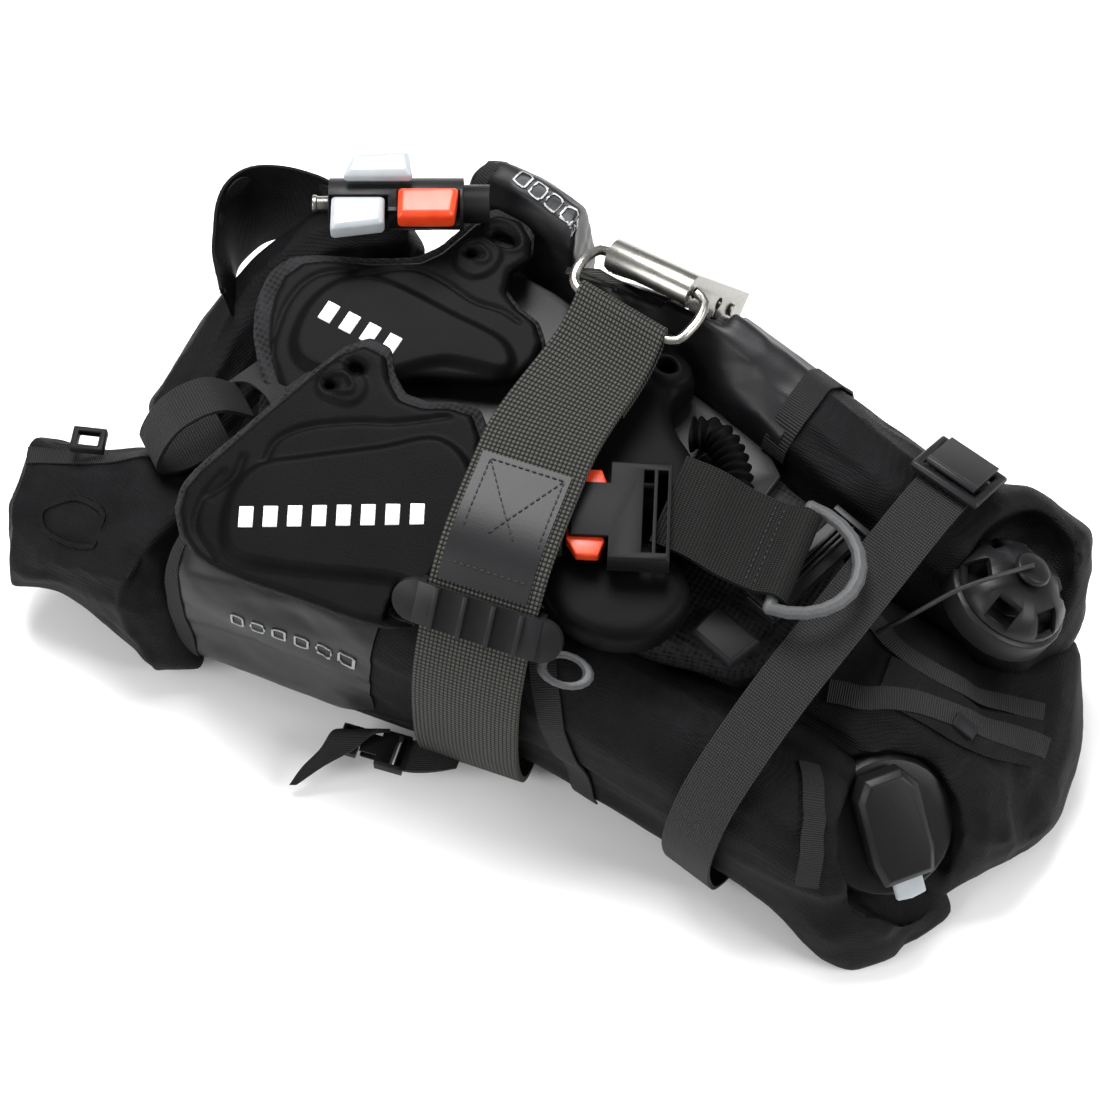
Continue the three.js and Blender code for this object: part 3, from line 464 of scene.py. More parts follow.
# The dashes are printed in silver ink, thin and flat.
silver_ink, tree, shader = finish("silver_print", "#8c8e90", 0.45, Metallic=0.3)
clouded(tree, shader, 800.0, "#7d7f82", "#9a9c9e")

near_skin, far_skin = skin_of(near_lobe), skin_of(far_lobe)
PANEL_LIFT = PANEL_THICK = 0.9


def skin_panel(name, source, sides):
    """A panel of cloth over part of a lobe: its skin, cut along flat sides and lifted off."""
    piece = bpy.data.objects.new(name, source.data.copy())
    bpy.context.scene.collection.objects.link(piece)
    shape = bmesh.new()
    shape.from_mesh(piece.data)
    for at, inwards in sides:
        bmesh.ops.bisect_plane(shape, geom=shape.verts[:] + shape.edges[:] + shape.faces[:], dist=0.02 * MM,
                               plane_co=Vector(at) * MM, plane_no=-Vector(inwards), clear_outer=True)
    for vertex in shape.verts:
        vertex.co += vertex.normal * PANEL_LIFT * MM
    shape.to_mesh(piece.data)
    shape.free()
    modify(piece, "SOLIDIFY", thickness=PANEL_THICK * MM, offset=0)
    bpy.ops.object.shade_smooth_by_angle(angle=math.radians(50))
    return piece


near_panel = skin_panel("near_coated_panel", near_lobe, [((-112, 0, 0), (1, 0, 0)), ((-13, 0, 0), (-1, 0, 0)),
                        ((0, -98, 88), (-0.1, -0.75, 0.25)), ((0, 0, 24), (0, 0, 1))])
belongs(near_panel, "bundle", ["near_side_panel"], coated)
far_panel = skin_panel("far_coated_panel", far_lobe, [((-86, 0, 0), (1, 0, 0)), ((92, 0, 0), (-1, 0.12, 0)),
                       ((0, 0, 84), (0, 0.2, 1))])
belongs(far_panel, "bundle", ["far_side_panel"], coated)


def outlined_dashes(name, points, count, tall, wide, onto, lift):
    """A row of thin rounded outlines, printed along the points: each is a superellipse inside another."""
    corners, ink_wide, ink_thick, squareness = 24, 0.75, 0.25, 0.45
    bpy.ops.mesh.primitive_circle_add(vertices=corners, radius=1, fill_type="NOTHING")
    piece = bpy.context.object
    piece.name = name
    run, _ = run_through(points, 1.0)
    every = bmesh.new()
    for k in range(count):
        centre = (k + 0.5) / count * (len(run) - 1)
        rings = []
        for inset in (0, ink_wide):
            ring = []
            for j in range(corners):
                angle = 2 * math.pi * j / corners
                c, s = math.cos(angle), math.sin(angle)
                along = math.copysign(abs(c) ** squareness, c) * (wide / 2 - inset)
                across = math.copysign(abs(s) ** squareness, s) * (tall / 2 - inset)
                i = max(0, min(len(run) - 1, round(centre + along)))
                here, out = onto.find_nearest(run[i])[:2]
                ahead = (run[min(i + 2, len(run) - 1)] - run[max(i - 2, 0)]).normalized()
                side = out.cross(ahead).normalized()
                spot, facing = onto.find_nearest(here + side * across * MM)[:2]
                ring.append(every.verts.new(spot + facing * lift * MM))
            rings.append(ring)
        outer, inner = rings
        for j in range(corners):
            after = (j + 1) % corners
            every.faces.new((outer[j], outer[after], inner[after], inner[j]))
    every.to_mesh(piece.data)
    every.free()
    modify(piece, "SOLIDIFY", thickness=ink_thick * MM, offset=1)
    return piece


for name, points, count, tall, wide, panel in (
    ("near_panel_dashes", [(-82, -132, 82), (-50, -128, 82), (-18, -124, 82)], 6, 7.5, 7, near_panel),
    ("far_panel_dashes", [(-72, 112, 150), (-46, 106, 152), (-24, 103, 152)], 5, 8, 8, far_panel),
):
    belongs(outlined_dashes(name, points, count, tall, wide, skin_of(panel), 0.5),
            "bundle", [], silver_ink)

# Tapes: the near panel's end, the near lobe's seam beside the band, and the far lobe's seam.
for name, points, width, onto, lift in (
    ("near_panel_tape", [(-110, -104, 97), (-112, -118, 88), (-112, -130, 70), (-110, -132, 48), (-108, -128, 24)],
     9, near_skin, 2),
    ("far_end_tape", [(-84, 96, 92), (-86, 100, 128), (-86, 114, 146), (-86, 126, 130), (-86, 128, 100)],
     9, far_skin, 2),
    ("near_seam_tape", [(50, -66, 114), (62, -86, 106), (74, -100, 84), (84, -104, 56), (92, -98, 24)],
     12, near_skin, 1.4),
    ("far_seam_tape", [(99, 62, 118), (101, 78, 142), (104, 98, 142), (106, 116, 118), (107, 118, 90)],
     13, far_skin, 2),
):
    belongs(laid_strip(name, points, width, onto, lift, 0.9), "bundle", [], tape)

# ---------------------------------------------------------------- back: panel, air cell, cushion, plate
# Under the harness lie the mesh-covered back panel and cushion, the air cell and the moulded backplate.
# The mesh is a knitted spacer fabric with open cells about 2.4 mm across.
mesh_cloth, tree, shader = finish("spacer_mesh", "#161617", 0.8, Specular_IOR_Level=0.2)
place = add_node(tree, "ShaderNodeTexCoord")
cells = add_node(tree, "ShaderNodeTexVoronoi", {"Vector": place.outputs["Object"], "Scale": 0.9 / (2.4 * MM),
                 "Randomness": 0.15}, feature="F1")
bump = add_node(tree, "ShaderNodeBump",
                {"Height": cells.outputs["Distance"], "Strength": 1.0, "Distance": 1.2 * MM})
tree.links.new(bump.outputs["Normal"], shader.inputs["Normal"])
# The colour is painted darker towards the middle of each cell, as painted shade in the open holes, and lighter on
# the strands.
shade_between(tree, shader, cells.outputs["Distance"], "#0a0a0a", "#242426", 0.15, 0.6)


def soft_copy(node, voxel, rounds, material):
    """A padded part: the frame's solid as an even net, its edges worked round."""
    piece = copy_of(node, node + "_padding")
    voxels(piece, voxel)
    modify(piece, "SMOOTH", factor=0.5, iterations=rounds)
    belongs(piece, "bundle", [node], material)
    choose(piece)
    bpy.ops.object.shade_smooth()
    return piece


soft_copy("back_panel", 3 * MM, 4, mesh_cloth)
soft_copy("air_cell", 5 * MM, 6, nylon)
soft_copy("back_cushion", 3 * MM, 5, mesh_cloth)

# Moulded glass-filled nylon: black, satin, with a fine grain, and painted highlights that lighten its convex edges.
hard_black, tree, shader = finish("glass_filled_nylon", "#0d0d0e", 0.4, Specular_IOR_Level=0.2)
grained(tree, shader, 1400.0, 0.15, 0.3 * MM)
# Painted highlight: the colour turns lighter where the surface is pointy, along convex edges.
edge = add_node(tree, "ShaderNodeNewGeometry")
shade_between(tree, shader, edge.outputs["Pointiness"], "#0b0b0c", "#262628", 0.5, 0.62)


def hard_copy(node, body, material, edge_width, steps=2):
    """A moulded or formed part: the frame's solid with whole flat faces and rounded edges."""
    piece = copy_of(node, node + "_finished")
    shape = bmesh.new()
    shape.from_mesh(piece.data)
    bmesh.ops.dissolve_limit(shape, angle_limit=math.radians(2), verts=shape.verts, edges=shape.edges)
    shape.to_mesh(piece.data)
    shape.free()
    modify(piece, "BEVEL", width=edge_width * MM, segments=steps, limit_method="ANGLE",
           angle_limit=math.radians(32))
    bpy.ops.object.shade_smooth_by_angle(angle=math.radians(38))
    belongs(piece, body, [node], material)


hard_copy("backplate", "bundle", hard_black, 0.8)

# ---------------------------------------------------------------- shoulder yokes and hip pads
# Each yoke is one moulded rubber pad with a lug at its top, a raised panel, sunk contour lines and a row
# of raised white bars. The hip pads are thicker and softer, and end in the same kind of lug.
rubber, tree, shader = finish("moulded_elastomer", "#0a0a0b", 0.5, Specular_IOR_Level=0.05)
grained(tree, shader, 1100.0, 0.25, 0.4 * MM)
clouded(tree, shader, 35.0, "#070708", "#0c0c0d", 3.0)


def distance_to_line(place, points, closed):
    """How far, in millimetres, each place lies from a line drawn in plan, and whether it is inside the line."""
    p = place[:, :2] / MM
    ends = list(zip(points, points[1:] + points[:1])) if closed else list(zip(points, points[1:]))
    near, inside = np.full(len(p), 1e9), np.zeros(len(p), bool)
    for (ax, ay), (bx, by) in ends:
        d = np.array([bx - ax, by - ay])
        t = np.clip(((p - (ax, ay)) @ d) / (d @ d), 0, 1)
        near = np.minimum(near, np.linalg.norm(p - (ax, ay) - t[:, None] * d, axis=1))
        crosses = (p[:, 1] < ay) != (p[:, 1] < by)
        at = ax + (p[:, 1] - ay) * (bx - ax) / (by - ay if by != ay else 1e-9)
        inside ^= crosses & (p[:, 0] < at)
    return near, inside


def smooth_run(points, closed):
    """Points on a smooth curve through some points in plan, in millimetres."""
    run, _ = run_through([(x, y, 0) for x, y in points], 2.5, closed)
    out = [(p.x / MM, p.y / MM) for p in run]
    return out[:-1] if closed else out


UPWARDS = 0.35  # a normal's z above which the skin counts as the upper face


def raised(piece, points, height, edge):
    """Lifts the upper face inside an outline, over a sloping edge."""
    place, out = coordinates(piece), normals(piece)
    near, inside = distance_to_line(place, smooth_run(points, True), True)
    t = np.clip(0.5 + np.where(inside, near, -near) / edge, 0, 1)
    place[:, 2] += np.where(out[:, 2] > UPWARDS, t * t * (3 - 2 * t) * height * MM, 0)
    put(piece, place)


def scored(piece, points, depth, width, closed=False):
    """A line sunk into the upper face, or raised where its depth is negative."""
    place, out = coordinates(piece), normals(piece)
    near, _ = distance_to_line(place, smooth_run(points, closed), closed)
    place[:, 2] -= np.where(out[:, 2] > UPWARDS, np.exp(-(near / width) ** 2) * depth * MM, 0)
    put(piece, place)


def moulded_pad(node, voxel, rounds):
    """A rubber pad, ready for its raised and sunk lines."""
    return soft_copy(node, voxel, rounds, rubber)


far_yoke = moulded_pad("shoulder_yoke_far", 1.3 * MM, 5)
raised(far_yoke, [(-116, -12), (-121, 8), (-115, 26), (-98, 36), (-60, 37), (-32, 36), (-24, 24), (-52, 14),
                  (-76, -8), (-102, -18)], 3.2, 5)
scored(far_yoke, [(-110, 31), (-100, 42), (-88, 49), (-74, 50), (-56, 48), (-42, 50), (-32, 49)], 1.2, 1.0)
scored(far_yoke, [(-124, -22), (-131, 6), (-127, 24), (-112, 36)], 1.2, 1.2)
raised(far_yoke, [(-76, 70), (-73, 59), (-62, 58), (-56, 66), (-58, 76), (-70, 78)], 1.4, 1.6)
scored(far_yoke, [(-71, 70), (-67, 73), (-61, 70), (-64, 66)], -1.0, 1.1, True)
scored(far_yoke, [(-73, 86), (-66, 91), (-57, 90), (-51, 83), (-57, 78), (-68, 78)], -1.0, 1.3, True)

near_yoke = moulded_pad("shoulder_yoke_near", 1.3 * MM, 5)
raised(near_yoke, [(-97, -90), (-93, -74), (-78, -62), (-50, -42), (-28, -26), (-6, -34), (0, -62), (2, -86),
                   (-16, -92), (-50, -106), (-78, -115), (-90, -108)], 3.4, 5)
scored(near_yoke, [(-92, -72), (-93, -60), (-84, -48), (-66, -36), (-50, -28), (-30, -14)], 1.3, 1.1)
scored(near_yoke, [(-106, -96), (-101, -84), (-102, -74)], 1.4, 1.4)
scored(near_yoke, [(-88, -120), (-103, -112), (-108, -98), (-106, -84)], 1.2, 1.3)
raised(near_yoke, [(-92, -26), (-86, -33), (-72, -30), (-70, -20), (-80, -14), (-90, -17)], 1.2, 1.8)
scored(near_yoke, [(-88, -24), (-82, -28), (-75, -24), (-82, -19)], -1.0, 1.1, True)

# The bars are white rubber, bonded into the raised panels.
white_rubber, tree, shader = finish("white_elastomer", "#e9e9e9", 0.5)
clouded(tree, shader, 600.0, "#e2e2e2", "#f1f1f1")


def bar_row(name, start, end, widths, tall, onto, lift):
    """Rounded bars in a row: for each a cube, bevelled and laid on the pad."""
    above, bar_thick, bar_edge = Vector((0, 0, 0.3)), 2.4 * MM, 1.0 * MM
    bpy.ops.mesh.primitive_cube_add(size=1)
    piece = bpy.context.object
    piece.name = name
    start, end = Vector(start) * MM, Vector(end) * MM
    ahead, total = (end - start).normalized(), (end - start).length
    gap = (total - sum(widths) * MM) / (len(widths) - 1)
    place, every = 0.0, bmesh.new()
    for wide in widths:
        one = bmesh.new()
        bmesh.ops.create_cube(one, size=1)
        centre = start + ahead * (place + wide * MM / 2)
        here, out = onto.ray_cast(centre + above, Vector((0, 0, -1)))[:2]
        side = out.cross(ahead).normalized()
        turn = Matrix((side.cross(out), side, out)).transposed().to_4x4() @ Matrix.Diagonal(
            (wide * MM, tall * MM, bar_thick, 1))
        turn.translation = here + out * lift * MM
        bmesh.ops.transform(one, matrix=turn, verts=one.verts)
        bmesh.ops.bevel(one, geom=one.edges[:], offset=bar_edge, segments=3, affect="EDGES")
        bar = bpy.data.meshes.new("bar")
        one.to_mesh(bar)
        every.from_mesh(bar)
        one.free()
        bpy.data.meshes.remove(bar)
        place += wide * MM + gap
    every.to_mesh(piece.data)
    every.free()
    choose(piece)
    bpy.ops.object.shade_smooth_by_angle(angle=math.radians(60))
    belongs(piece, "bundle", [], white_rubber)


bar_row("near_yoke_bars", (-88, -100, 0), (-14, -59, 0), (8.2,) * 8, 11.5, skin_of(near_yoke), -0.5)
bar_row("far_yoke_bars", (-114, 9, 0), (-72, 9, 0), (8.2,) * 4, 11.5, skin_of(far_yoke), -0.5)


def under_pad(name, node, grow, drop, shift):
    """The mesh-covered foam that shows round a yoke: the yoke's outline, wider and lower."""
    piece = copy_of(node, name)
    place = coordinates(piece)
    middle = (place.max(axis=0) + place.min(axis=0)) / 2
    place = (place - middle) * np.array(grow) + middle + np.array(shift) * MM
    place[:, 2] -= drop * MM
    put(piece, place)
    voxels(piece, 2 * MM)
    modify(piece, "SMOOTH", iterations=8)
    bpy.ops.object.shade_smooth()
    belongs(piece, "bundle", [], mesh_cloth)


under_pad("far_yoke_foam", "shoulder_yoke_far", (1.08, 1.08, 0.9), 5, (-5, 3, 0))
under_pad("near_yoke_foam", "shoulder_yoke_near", (1.04, 1.06, 0.9), 5, (-2, 5, 0))
hip_far = moulded_pad("hip_pad_far", 1.8 * MM, 26)
raised(hip_far, [(30, 58), (32, 68), (42, 72), (50, 66), (50, 56), (40, 52)], 1.6, 3)
scored(hip_far, [(32, 61), (39, 66), (46, 61), (39, 56)], -1.2, 1.2, True)
moulded_pad("hip_pad_near", 1.8 * MM, 26)

# ---------------------------------------------------------------- tank band
# A 50 mm basket-woven polyester band, 3 mm thick. One end is folded round the bail's bar and sewn, the other
# runs under the cam lever. A sewn patch and a moulded keeper sit on it.
basket, tree, shader = finish("basket_weave_webbing", "#1d1d1c", 0.7, Specular_IOR_Level=0.25)


def weave_on_uv(tree, shader, along, across, dark, light, depth):
    """A plain weave: a dome for every thread that passes over another, spaced along and across in metres."""
    cloth_uv = add_node(tree, "ShaderNodeUVMap")
    split = add_node(tree, "ShaderNodeSeparateXYZ", {"Vector": cloth_uv.outputs["UV"]})
    waves = []
    for socket, pitch in (("X", along), ("Y", across)):
        turns = add_node(tree, "ShaderNodeMath", {0: split.outputs[socket], 1: math.pi / pitch},
                         operation="MULTIPLY")
        waves.append(add_node(tree, "ShaderNodeMath", {0: turns.outputs[0]}, operation="SINE").outputs[0])
    both = add_node(tree, "ShaderNodeMath", {0: waves[0], 1: waves[1]}, operation="MULTIPLY")
    dome = add_node(tree, "ShaderNodeMath", {0: both.outputs[0]}, operation="ABSOLUTE")
    round_dome = add_node(tree, "ShaderNodeMath", {0: dome.outputs[0], 1: 0.6}, operation="POWER")
    bump = add_node(tree, "ShaderNodeBump", {"Height": round_dome.outputs[0], "Strength": 1.0, "Distance": depth})
    tree.links.new(bump.outputs["Normal"], shader.inputs["Normal"])
    # The colour is painted: a painted highlight on the crown of every thread, and painted shade in the gaps between
    # threads.
    shade_between(tree, shader, round_dome.outputs[0], dark, light, 0.25, 0.85)


# Painted shade between the threads, and a painted highlight on their crowns.
weave_on_uv(tree, shader, 2.1 * MM, 1.9 * MM, "#080807", "#474743", 1.0 * MM)

BAND_TURN = Matrix.Translation((14.5 * MM, 0, 0)) @ Matrix.Rotation(math.radians(11.1), 4, "Z")
BAND_RUN = [(88, 142), (96, 130), (106, 112), (112, 85), (112, 50), (108, 16), (96, 4), (76, 1.5), (40, 1.5),
            (0, 1.5), (-40, 1.5), (-76, 1.5), (-92, 2.6), (-102, 7), (-110, 24), (-114, 56), (-111, 97),
            (-100, 126), (-82, 150), (-62, 161), (-30, 163), (10, 162.5), (34, 163), (50, 167), (58.8, 170.1),
            (62.8, 166), (58.8, 162), (48, 159.6), (30, 158.5), (16, 158.5)]
BAR_SIDE, BAR_AT, BAR_TURN = 12.2, 58.8, 15.1  # the middle of the bail's bar in the band's x and y, and its turn
BAND_TOP, TURN_FROM = 0.14, -0.02  # in metres: the band turns above this height and beyond this y
NARROWING = 0.12
run, length = run_through([(0, y, z) for y, z in BAND_RUN], 3)


def band_place(i, across):
    """The band narrows a little and turns, to meet the bar square."""
    at = run[i].copy()
    x = across
    if at.z > BAND_TOP and at.y > TURN_FROM:
        t = min(1, (at.y - TURN_FROM) / (BAR_AT * MM - TURN_FROM))
        t = t * t * (3 - 2 * t)
        x = across * (1 - NARROWING * t) + BAR_SIDE * MM * t
        at.y -= math.tan(math.radians(BAR_TURN)) * (x - BAR_SIDE * MM * t) * t
    return BAND_TURN @ Vector((x, at.y, at.z))


band = strip("tank_band_webbing", run, length, 50, 3, band_place, 10)
belongs(band, "bundle", ["tank_band"], basket)

# The patch is smooth coated cloth, sewn down with a frame and a cross of thread.
band_skin = skin_of(band)
PATCH = [(-84, 149.5), (-70, 158.5), (-56, 163.5), (-27, 165)]


def on_band(x, y, z):
    """A place given along the band's own axes, in the frame's."""
    return tuple((BAND_TURN @ Vector((x * MM, y * MM, z * MM))) / MM)


patch = laid_strip("band_patch_cloth", [on_band(-1, y, z) for y, z in PATCH], 41, band_skin, 0.5, 0.8, 3, 10)
belongs(patch, "bundle", ["band_patch"], coated)
side, low, half_way, high = 17, (-78, 156), (-56, 165), (-30, 167)
FRAME_AND_CROSS = (
    ((-side, low), (-side, half_way), (-side, high)), ((side, low), (side, half_way), (side, high)),
    ((-side, low), (0, low), (side, low)), ((-side, high), (0, high), (side, high)),
    ((-side, low), (0, half_way), (side, high)), ((side, low), (0, half_way), (-side, high)))
patch_rows = [[on_band(x, *end) for x, end in row] for row in FRAME_AND_CROSS]
belongs(thread_row("band_patch_stitching", patch_rows, 3.2, skin_of(patch), 0.3, 2.4, 0.42),
        "bundle", [], thread)

hard_copy("band_keeper", "bundle", hard_black, 0.6)

# ---------------------------------------------------------------- cam buckle
# A pressed stainless lever with its near edge curled over, on a welded wire bail. The steel is polished, and
# fine scratches dull it unevenly.
polished, tree, shader = finish("polished_stainless_steel", "#96948f", 0.28, Metallic=1.0)
place = add_node(tree, "ShaderNodeTexCoord")
wear = add_node(tree, "ShaderNodeTexNoise", {"Vector": place.outputs["Object"], "Scale": 260.0, "Detail": 4.0})
dulled = add_node(tree, "ShaderNodeMapRange", {"Value": wear.outputs["Fac"], "From Min": 0.3, "From Max": 0.7,
                  "To Min": 0.26, "To Max": 0.31})
tree.links.new(dulled.outputs["Result"], shader.inputs["Roughness"])
shade_between(tree, shader, wear.outputs["Fac"], "#94928d", "#989691")

hard_copy("cam_bail", "bundle", polished, 0.2)
hard_copy("cam_lever", "cam_lever", polished, 0.35, 3)
hard_copy("cam_roller", "cam_lever", polished, 0.3)

# ---------------------------------------------------------------- waist buckle
# A 50 mm side-release buckle: a black acetal socket and plug, and two orange latches that a diver presses.
# Acetal is smooth and waxy. The orange latches, and the grey parts of the valves and the inflator further on,
# are the same plastic.
black_acetal, tree, shader = finish("black_acetal", "#0d0d0e", 0.45, Specular_IOR_Level=0.08)
grained(tree, shader, 700.0, 0.08, 0.4 * MM)
# Painted highlight: as on the moulded nylon, the colour turns lighter along convex edges.
edge = add_node(tree, "ShaderNodeNewGeometry")
shade_between(tree, shader, edge.outputs["Pointiness"], "#0a0a0b", "#242426", 0.5, 0.62)
orange_acetal, tree, shader = finish("orange_acetal", "#dc3e18", 0.36)
clouded(tree, shader, 120.0, "#d63813", "#e2481f")
grey_acetal, tree, shader = finish("grey_acetal", "#a2a7ab", 0.4)
clouded(tree, shader, 120.0, "#9ca1a5", "#a8adb1")

hard_copy("waist_buckle_socket", "bundle", black_acetal, 1.2, 3)
hard_copy("waist_buckle_plug", "waist_plug", black_acetal, 0.8)
hard_copy("buckle_latch_far", "latch_far", orange_acetal, 0.8, 3)
hard_copy("buckle_latch_near", "latch_near", orange_acetal, 0.8, 3)

# ---------------------------------------------------------------- waist belt and D-ring
# The belt is a fine ribbed nylon web, 46 mm wide, that ends in a sewn eye round a coated steel D-ring.
ribbed_web, tree, shader = finish("ribbed_nylon_web", "#151515", 0.62, Specular_IOR_Level=0.16)
# Painted shade between the threads, and a painted highlight on their crowns.
weave_on_uv(tree, shader, 1.5 * MM, 1.1 * MM, "#0a0a0a", "#20201f", 0.5 * MM)
BELT_TURN = Matrix.Translation((78 * MM, -3 * MM, 0)) @ Matrix.Rotation(math.radians(8.8), 4, "Z")
BELT_RUN = [(-2, 151), (14, 149.4), (30, 142.6), (46, 140), (52, 142), (57, 143.2), (61.4, 138), (57, 133.2),
            (48, 134.5)]
run, length = run_through([(x, 0, z) for x, z in BELT_RUN], 1.6)
belt = strip("waist_belt_webbing", run, length, 46, 2.2,
             lambda i, across: BELT_TURN @ Vector((run[i].x, across, run[i].z)), 10)
belongs(belt, "bundle", ["waist_belt"], ribbed_web)
belt_rows = [[tuple((BELT_TURN @ (Vector((x, y, 142)) * MM)) / MM) for y in (-20, 0, 20)] for x in (42, 46)]
belongs(thread_row("waist_belt_stitching", belt_rows, 3.0, skin_of(belt), 0.2, 2.2, 0.4),
        "bundle", [], thread)

# The D-ring and the snap ring are bent steel rod with a dull grey powder coat, a little pebbled.
powder_grey, tree, shader = finish("grey_powder_coat", "#424345", 0.55)
grain = grained(tree, shader, 900.0, 0.2, 0.4 * MM, 3.0)
shade_between(tree, shader, grain, "#3c3d3f", "#48494b")
hard_copy("d_ring", "d_ring", powder_grey, 0.2)
hard_copy("snap_ring", "bundle", powder_grey, 0.2)
hard_copy("weight_rail", "bundle", hard_black, 0.4)
hard_copy("weight_clip", "bundle", black_acetal, 0.6)

# ---------------------------------------------------------------- cinch strap and its ladder buckle
# A 25 mm nylon strap closes the valve end, through a small ladder buckle with a lever.
fine_web, tree, shader = finish("fine_nylon_webbing", "#1c1c1c", 0.65, Specular_IOR_Level=0.25)
# Painted shade between the threads, and a painted highlight on their crowns.
weave_on_uv(tree, shader, 1.3 * MM, 1.1 * MM, "#101010", "#2a2a2a", 0.45 * MM)
CINCH_TURN = Matrix.Translation((164 * MM, 0, 0)) @ Matrix.Rotation(math.radians(-8.2), 4, "Z")
CINCH_RUN = [(-88, 3), (-74, 1.4), (-50, 1.4), (0, 1.4), (50, 1.4), (74, 1.4), (88, 4), (101, 18), (107, 60),
             (106, 100), (93, 124), (70, 133), (40, 131), (0, 124), (-40, 118), (-74, 104), (-97, 84), (-107, 52),
             (-101, 16)]
run, length = run_through([(0, y, z) for y, z in CINCH_RUN], 4, True)
cinch = strip("cinch_strap_webbing", run, length, 26, 2,
              lambda i, across: CINCH_TURN @ Vector((across, run[i].y, run[i].z)), 6)
belongs(cinch, "bundle", ["cinch_strap"], fine_web)
hard_copy("cinch_buckle", "bundle", hard_black, 0.7)
hard_copy("cinch_lever", "cinch_lever", hard_black, 0.7)

# ---------------------------------------------------------------- dump valves and the pocket beside them
# Two moulded valves let air out: a domed one with a pull cord, and a hip one with a cover and a grey tab.
# Between them a pocket's flap lies over its zip, and ribbed tapes bind the edges of the folded end.
hard_copy("rear_valve_base", "bundle", hard_black, 0.5)
hard_copy("rear_valve_dome", "bundle", hard_black, 0.5)
hard_copy("rear_valve_knob", "rear_knob", hard_black, 0.5)
hard_copy("rear_valve_spring", "bundle", polished, 0.05, 1)
hard_copy("pull_cord", "rear_knob", thread, 0.1, 1)
hard_copy("hip_valve_base", "bundle", hard_black, 0.5)
hard_copy("hip_valve_cover", "bundle", hard_black, 0.9, 3)
hard_copy("hip_valve_tab", "hip_tab", grey_acetal, 0.7, 3)
pocket = laid_strip("zip_pocket_cloth", [(190, -4, 96), (214, 0, 90), (240, 6, 76), (262, 22, 54)], 22,
                    skin_of(end_fold), 1.4, 1.0, 3, 8)
belongs(pocket, "bundle", ["zip_pocket"], nylon)
hard_copy("zip_slider", "zip_slider", black_acetal, 0.6)
end_skin = skin_of(end_fold, far_lobe)
for name, points, width in (
    ("pocket_tape", [(170, -26, 104), (188, -18, 100), (202, -8, 94), (224, 2, 84), (246, 12, 68),
                     (262, 24, 48)], 10),
    ("valve_flap_tape", [(166, 24, 104), (184, 14, 98), (204, 12, 90), (224, 18, 80), (244, 28, 64),
                         (252, 36, 54)], 8),
):
    belongs(laid_strip(name, points, width, end_skin, 1.8, 0.9, 2.5), "bundle", [], tape)
belongs(laid_strip("near_end_tape", [(187, -48, 106), (193, -66, 100), (200, -86, 84), (205, -99, 62)], 10,
                   near_skin, 1.8, 0.9, 2.5), "bundle", [], tape)

# ---------------------------------------------------------------- inflator
# The inflator lies over the collar: a black body, a grey lever and mouthpiece, and an orange button.
hard_copy("inflator_body", "bundle", hard_black, 0.6)
hard_copy("inflate_button", "inflate_button", grey_acetal, 1.2, 3)
hard_copy("deflate_button", "deflate_button", orange_acetal, 1.2, 3)
hard_copy("mouthpiece", "bundle", grey_acetal, 1.2, 3)
hard_copy("inflator_nipple", "bundle", polished, 0.3)
HOSE_RUN = [(64, 42, 130), (74, 45, 132), (86, 38, 131), (95, 26, 129), (98, 12, 127), (93, -4, 126),
            (84, -13, 125)]
HOSE_RADIUS, RIB, RIB_PITCH, UNROLLED_RADIUS = 7.4, 1.1, 4.2, 16
run, length = run_through(HOSE_RUN, 0.7)


def hose_place(i, across):
    """The strip's width goes once round the hose, and ribs stand out along it."""
    ahead = (run[min(i + 1, len(run) - 1)] - run[max(i - 1, 0)]).normalized()
    side = ahead.cross(Vector((0, 0, 1))).normalized()
    angle = across / (UNROLLED_RADIUS * MM)
    ribs_passed = length / MM * i / (len(run) - 1) / RIB_PITCH
    radius = (HOSE_RADIUS + RIB * math.cos(2 * math.pi * ribs_passed)) * MM
    return run[i] + (side * math.sin(angle) + side.cross(ahead) * math.cos(angle)) * radius


hose = strip("ribbed_hose", run, length, 2 * math.pi * UNROLLED_RADIUS, 0, hose_place, 24)
choose(hose)
bpy.ops.object.mode_set(mode="EDIT")
bpy.ops.mesh.select_all(action="SELECT")
bpy.ops.mesh.remove_doubles(threshold=WELD)
bpy.ops.mesh.select_all(action="DESELECT")
bpy.ops.mesh.select_non_manifold()
bpy.ops.mesh.edge_face_add()
bpy.ops.mesh.select_all(action="SELECT")
bpy.ops.mesh.normals_make_consistent(inside=False)
bpy.ops.object.mode_set(mode="OBJECT")
belongs(hose, "bundle", ["corrugated_hose"], rubber)

# ---------------------------------------------------------------- flap, loose webbing and small hardware
# The shoulder flap stands up from the collar, and short webs hang loose where nothing pulls them.
FLAP_RUN = [(-130, 68), (-140, 66), (-158, 68), (-174, 66), (-186, 56), (-188, 40), (-180, 26), (-172, 16),
            (-166, 8)]
FLAP_FOOT, FLAP_RISE, FLAP_WIDE, FLAP_LEAN, FLAP_RIPPLE = 76, 53, 54, 6, 0.9
RIPPLES_ALONG, RIPPLES_UP = 19, 4
SAG_FROM, SAG = 0.62, 0.28  # the share of the flap's run where its top begins to sag, and how far it does
run, length = run_through([(x, y, 0) for x, y in FLAP_RUN], 2.5)


